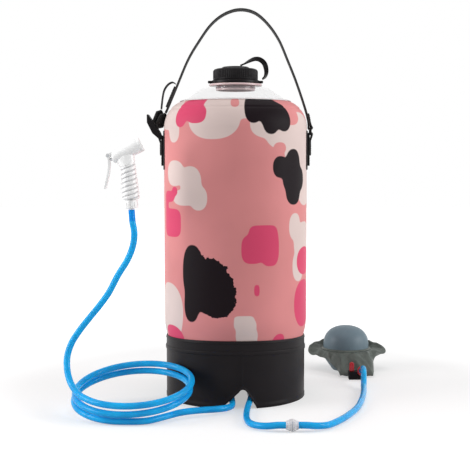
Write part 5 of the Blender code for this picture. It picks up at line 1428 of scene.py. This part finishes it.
class SHOWER_OT_handset(bpy.types.Operator):
    """Make the trigger handset: barrel, spray plate, spiral grip, lever, nut and ferrule"""

    bl_idname = "shower.handset"
    bl_label = "Handset"

    def execute(self, context):
        self.barrel()
        self.grip()
        self.nut()
        eased_copy("trigger_lever", "squeeze_lever", "handset plastic", 0.0007)
        carried("plated steel", "lever_pin", "plunger")
        carried("spray face", "spray_plate")
        return {"FINISHED"}

    def barrel(self):
        end = 0.0440
        profile = [
            (0, end - 0.0035), (0.0085, end - 0.0035), (0.0085, end - 0.0003), (0.0088, end), (0.0097, end),
            (0.0101, end - 0.0006), (0.0101, end - 0.0030), (0.0097, end - 0.0034), (0.0097, end - 0.0040),
            (0.0099, end - 0.0045), (0.0096, end - 0.0120), (0.0091, end - 0.0230), (0.0084, 0.0100),
            (0.0079, 0.0040), (0.0071, 0.0014), (0.0058, 0.0), (0.0024, 0.0), (0.0024, 0.0120), (0, 0.0120),
        ]
        settings = ("handset plastic", "tank", ("handset_body",))
        piece("handset_barrel", spun(profile, 96), *settings, at=BARREL @ ALONG_X, sharp=30.0)
        neck = [
            (0, 0.0745), (0.0078, 0.0745), (0.0088, 0.0700), (0.0097, 0.0655), (0.0096, GRIP_TOP + SEAT),
            (CORE_RADIUS, GRIP_TOP + SEAT), (CORE_RADIUS, 0.0060), (0, 0.0060),
        ]
        piece("handset_neck", spun(neck, 96), "handset plastic", "tank", at=HAND)
        piece("handset_saddle", self.saddle(), "handset plastic", "tank", at=HAND, sharp=60.0)
        lug = [(0.0060, 0.0030), (0.0060, 0.0078), *arc((-0.0030, 0.0065), 0.0030, 75, 285, 14)]
        soften(piece("lever_lug", slab(lug, 0.0040), "handset plastic", "tank", at=BARREL), 0.0004)

    def saddle(self):
        """The body swells from a slanting ring round the top of the grip into the barrel."""
        shape = bmesh.new()
        rings = []
        for middle, half, width, z, rise in (
            (-0.0006, 0.0106, 0.0106, 0.0612, 0.0034), (-0.0030, 0.0124, 0.0098, 0.0690, 0.0034),
            (-0.0042, 0.0132, 0.0072, 0.0768, 0.0050),
        ):
            loop = []
            for k in range(40):
                x, y = math.cos(math.tau * k / 40), math.sin(math.tau * k / 40)
                loop.append((middle + half * x, width * y, z + rise * x))
            rings.append(line_of(shape, loop, closed=True)[40:])
        for lower, upper in zip(rings, rings[1:]):
            bmesh.ops.bridge_loops(shape, edges=lower + upper)
        bmesh.ops.holes_fill(shape, edges=[e for e in shape.edges if e.is_boundary], sides=40)
        bmesh.ops.recalc_face_normals(shape, faces=shape.faces)
        return shape

    def grip(self):
        bore = CORE_RADIUS + SEAT
        profile = [(bore, GRIP_BOTTOM)]
        for k in range(91):
            share = k / 90
            full = 0.0126 - 0.0028 * max(0.0, share - 0.15) / 0.85
            easing = 0.0016 * max(0.0, 1 - share / 0.06) ** 2
            easing += 0.0008 * max(0.0, 1 - (1 - share) / 0.04) ** 2
            profile.append((full - easing, GRIP_BOTTOM + (GRIP_TOP - GRIP_BOTTOM) * share))
        profile.append((bore, GRIP_TOP))
        shape = spun(profile, 120, closed=True)

        def groove(angle, radius, z):
            if radius < bore + 0.0006:
                return 0.0
            phase = GRIP_STARTS * (angle - math.tau * z / GRIP_LEAD)
            return max(0.0, math.cos(phase) - 0.15) ** 1.2

        # How deep each point lies in a groove, which the handset's material paints as shade
        shade = shape.verts.layers.float.new("groove")
        for vert in shape.verts:
            vert[shade] = groove(*polar(vert), vert.co.z)
        shifted(shape, lambda angle, radius, z: -GRIP_GROOVE * groove(angle, radius, z))
        piece("grip_sleeve", shape, "handset plastic", "tank", ("spiral_grip",), at=HAND, sharp=60.0)

    def nut(self):
        low, high, radius = 0.0014, 0.0131, 0.0095
        profile = [
            (radius - 0.0006, high), (radius, high - 0.0008), (radius, low + 0.0070), (radius, low + 0.0012),
            (radius - 0.0010, low), (HOSE_RADIUS + 2 * SEAT, low), (HOSE_RADIUS + 2 * SEAT, 0.0045),
            (CORE_RADIUS + SEAT, 0.0045), (CORE_RADIUS + SEAT, high),
        ]

        def flutes(angle, reach, z):
            grip = reach > radius - 0.0009 and low + 0.0010 < z < high - 0.0020
            return -0.0008 * max(0.0, math.cos(12 * angle)) ** 1.5 if grip else 0.0

        settings = ("handset plastic", "hose_nut", ("hose_nut",))
        options = {"segments": 2, "at": HAND}
        turned("fluted_nut", profile, 0.0003, 144, *settings, rule=flutes, sharp=50.0, **options)
        profile = [
            (0.0068, 0.0057), (0.0068, 0.0048), (HOSE_RADIUS, 0.0048), (HOSE_RADIUS, 0.0),
            (HOSE_RADIUS - 0.0015, 0.0), (HOSE_RADIUS - 0.0015, 0.0057),
        ]
        turned("ferrule", profile, 0.0002, 64, "handset plastic", "tank", ("hose_ferrule",), **options)


# The pump's flange as angles in degrees and how far it reaches past the pan there
BRIM_EDGE = [
    (-58, 0.0330), (-50, 0.0222), (-40, 0.0143), (-27, 0.0121), (-12, 0.0204), (-3, 0.0255), (7, 0.0232),
    (16, 0.0163), (27, 0.0092), (42, 0.0082), (65, 0.0074), (90, 0.0060), (115, 0.0074), (138, 0.0082),
    (153, 0.0092), (164, 0.0163), (172, 0.0205), (183, 0.0221), (193, 0.0175), (204, 0.0098), (217, 0.0070),
    (234, 0.0095), (250, 0.0190),
]

# Folds of the flange: the angle that each runs out along, its half width there, and its height
BRIM_FOLDS = [
    (203, 8, -0.0040), (220, 7, 0.0030), (237, 6, -0.0030), (252, 6, 0.0034), (266, 5, -0.0026),
    (281, 6, 0.0034), (296, 6, -0.0028), (311, 7, 0.0034), (328, 7, -0.0034), (345, 8, 0.0022),
    (12, 9, -0.0014), (166, 7, 0.0016), (184, 8, -0.0018),
]


def dome_height(radius):
    """The height of the pump's dome at this distance from its middle."""
    share = min(1.0, radius / DOME_RADIUS)
    return DOME_BASE + (DOME_TOP - DOME_BASE) * (1 - share**2.3) ** (1 / 2.3)


class SHOWER_OT_pump(bpy.types.Operator):
    """Make the foot pump: pan, flange, rim, dome, crown, spring, block, collar and plug"""

    bl_idname = "shower.pump"
    bl_label = "Foot pump"

    def execute(self, context):
        self.pan()
        self.brim()
        self.dome()
        self.spring()
        self.fittings()
        return {"FINISHED"}

    def pan(self):
        wall = 0.0018
        bowl = [(PAN_RADIUS, PAN_HEIGHT), (PAN_RADIUS, 0.0290), (0.0352, 0.0190), (0.0285, 0.0095)]
        bowl += [(0.0228, 0.0015), (0.0212, 0.0)]
        inside = [(radius - wall, max(wall, z)) for radius, z in bowl]
        profile = bowl + [(0, 0.0), (0, wall)] + inside[::-1]
        piece("lower_pan", spun(profile, 96), "slate vinyl", "tank", ("pump_pan",), at=PUMP)
        top = SEAM_Z + BRIM + SEAT
        rim = [
            (PAN_RADIUS + 0.0010, top), (DOME_RADIUS + SEAT, top), (DOME_RADIUS + SEAT, top + 0.0026),
            (PAN_RADIUS - 0.0012, top + 0.0016),
        ]
        turned("seam_rim", rim, 0.0009, 120, "brim vinyl", "tank", ("pump_rim",), "slate_pvc", at=PUMP)

    def brim(self):
        """The flange between the dome and its lobed edge, creased as welded sheet is."""
        left, right = TAIL_X - TAIL_HALF_WIDTH, TAIL_X + TAIL_HALF_WIDTH
        end, step = TAIL_Y + 0.0008, 0.0022
        edge = [(right, end)]
        for angle, reach in BRIM_EDGE:
            turn = math.radians(angle)
            edge.append(((PAN_RADIUS + reach) * math.cos(turn), (PAN_RADIUS + reach) * math.sin(turn)))
        edge.append((left, end))
        outline = [Vector((x, y, 0)) for x, y in flat_smooth(edge, step)]
        outline += spaced([Vector((left, end, 0)), Vector((right, end, 0))], step)[1:-1]
        shape = bmesh.new()
        share = shape.verts.layers.float.new("share")
        rings = []
        for loop, value in (([p * (BRIM_BORE / p.length) for p in outline], 0.0), (outline, 1.0)):
            made = line_of(shape, loop, closed=True)
            for vert in made[: len(loop)]:
                vert[share] = value
            rings += made[len(loop) :]
        bmesh.ops.bridge_loops(shape, edges=rings)
        spokes = [e for e in shape.edges if e not in set(rings)]
        bmesh.ops.subdivide_edges(shape, edges=spokes, cuts=22, use_grid_fill=True)
        for vert in shape.verts:
            vert.co.z = self.brim_height(vert.co.x, vert.co.y, vert[share])
        bmesh.ops.recalc_face_normals(shape, faces=shape.faces)
        shape.normal_update()
        if sum(face.normal.z for face in shape.faces) < 0:
            bmesh.ops.reverse_faces(shape, faces=shape.faces)
        flange = piece("lobed_flange", shape, "brim vinyl", "tank", ("pump_brim",), at=PUMP)
        thicken(flange, BRIM)
        soften(flange, 0.0005)

    def brim_height(self, x, y, share):
        """Flat inside its fold, and tilted outside it: down to the floor in front, a little up behind."""
        slope, back = 0.435, 0.022
        reach = math.hypot(x, y)
        edge = BRIM_BORE + (reach - BRIM_BORE) / share if share > 0 else reach + 0.01
        past = unit((reach - FOLD_RADIUS) / (edge - FOLD_RADIUS))
        lobe = 0.0035 * max(0.0, (abs(x) - PAN_RADIUS - 0.0020) / 0.0220) ** 1.5
        height = SEAM_Z + BRIM - lobe + slope * (y if y < 0 else back * math.tanh(y / back)) * past
        angle = math.degrees(math.atan2(y, x)) % 360
        crest = math.sin(math.pi * past**0.8) + 0.12 * past
        for middle, width, rise in BRIM_FOLDS:
            off = (angle - middle + 180) % 360 - 180
            height += rise * crest * math.exp(-((off / width) ** 2))
        creases = 1 - 3 * abs(noise.noise(Vector((x, y, 0.3)) * 60))
        height += 0.0016 * min(1.0, 3 * past) * creases
        height += 0.0005 * math.exp(-(((share - 0.88) / 0.05) ** 2))
        return max(height, BRIM + 0.0004)

    def dome(self):
        height = dome_height(CROWN_RADIUS) - SEAM_TOP
        wall = 0.0016
        outer = []
        for k in range(33):
            a = math.pi / 2 * k / 32
            radius = CROWN_RADIUS - 0.0006 + (DOME_RADIUS - CROWN_RADIUS + 0.0006) * math.sin(a)
            outer.append((radius, dome_height(radius) - 0.0002 * (k == 0)))
        outer += [(DOME_RADIUS, SEAM_TOP + 0.0030), (DOME_RADIUS, SEAM_TOP)]
        inner = []
        for k, (radius, z) in enumerate(outer):
            inner.append((radius - wall * min(1.0, k / 10), z - wall * max(0.0, 1 - k / 26)))
        shape = spun(outer + inner[::-1], 160, closed=True)
        bellows = piece("dome_wall", shape, "slate vinyl", "tank", ("pump_bellows",), at=PUMP)
        self.pressed(bellows, SEAM_TOP, height)
        profile = [(CROWN_RADIUS * k / 14, dome_height(CROWN_RADIUS * k / 14)) for k in range(15)]
        edge = profile[-1][1]
        profile += [(CROWN_RADIUS - 0.0003, edge - 0.0012), (0, edge - 0.0012)]
        shape = spun(profile, 160)
        piece("dome_crown", shape, "slate vinyl", "pump_crown", ("pump_crown",), at=PUMP)

    def spring(self):
        low, high = 0.0021, 0.0651
        profile = [(0.0160, high), (0.0160, low), (0.0060, low), (0.0060, high)]
        settings = ("foam rubber", "tank", ("return_foam",))
        foam = turned("foam_spring", profile, 0.0012, 72, *settings, segments=5, at=PUMP)
        self.pressed(foam, low, high - low)

    def pressed(self, obj, low, height):
        """Gives the piece its own mesh; nothing presses it here, and low and height are not used."""
        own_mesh(obj)

    def fittings(self):
        eased_copy("valve_block", "port_block", "black plastic", 0.0004)
        eased_copy("port_plug", "red_stopper", "red plastic", 0.0006)
        mouth, way = port_line()
        half = 0.0025
        turn = Matrix.Rotation(math.pi / 2 - PORT_TILT, 4, "X")
        frame = Matrix.Translation(mouth + way * (half + SEAT)) @ turn
        settings = ("red plastic", "tank", ("red_collar",))
        turned("port_collar", round_hose(0.0072, half), 0.0008, 72, *settings, at=frame)


MAKERS = (
    SHOWER_OT_stage,
    SHOWER_OT_hoses,
    SHOWER_OT_tank,
    SHOWER_OT_skirt,
    SHOWER_OT_cap,
    SHOWER_OT_strap,
    SHOWER_OT_fittings,
    SHOWER_OT_handset,
    SHOWER_OT_pump,
)
SETTINGS = {
    "shower_print": ShowerPrint,
    "shower_hose": ShowerHose,
    "shower_trim": ShowerTrim,
    "shower_stage": ShowerStage,
}


class SHOWER_PT_panel(bpy.types.Panel):
    """Lists the makers and their settings"""

    bl_label = "Camp Shower"
    bl_idname = "SHOWER_PT_panel"
    bl_space_type = "VIEW_3D"
    bl_region_type = "UI"
    bl_category = "Camp Shower"

    def draw(self, context):
        column = self.layout.column(align=True)
        for maker in MAKERS:
            column.operator(maker.bl_idname)
        for name, group in SETTINGS.items():
            box = self.layout.box()
            for setting in group.__annotations__:
                box.prop(getattr(context.scene, name), setting)


CLASSES = (*SETTINGS.values(), *MAKERS, SHOWER_PT_panel)


def register():
    for cls in CLASSES:
        bpy.utils.register_class(cls)
    for name, group in SETTINGS.items():
        setattr(bpy.types.Scene, name, bpy.props.PointerProperty(type=group))


def unregister():
    for name in SETTINGS:
        delattr(bpy.types.Scene, name)
    for cls in reversed(CLASSES):
        bpy.utils.unregister_class(cls)


def main():
    register()
    for maker in MAKERS:
        getattr(bpy.ops.shower, maker.bl_idname.split(".")[1])()


if __name__ == "__main__":
    main()
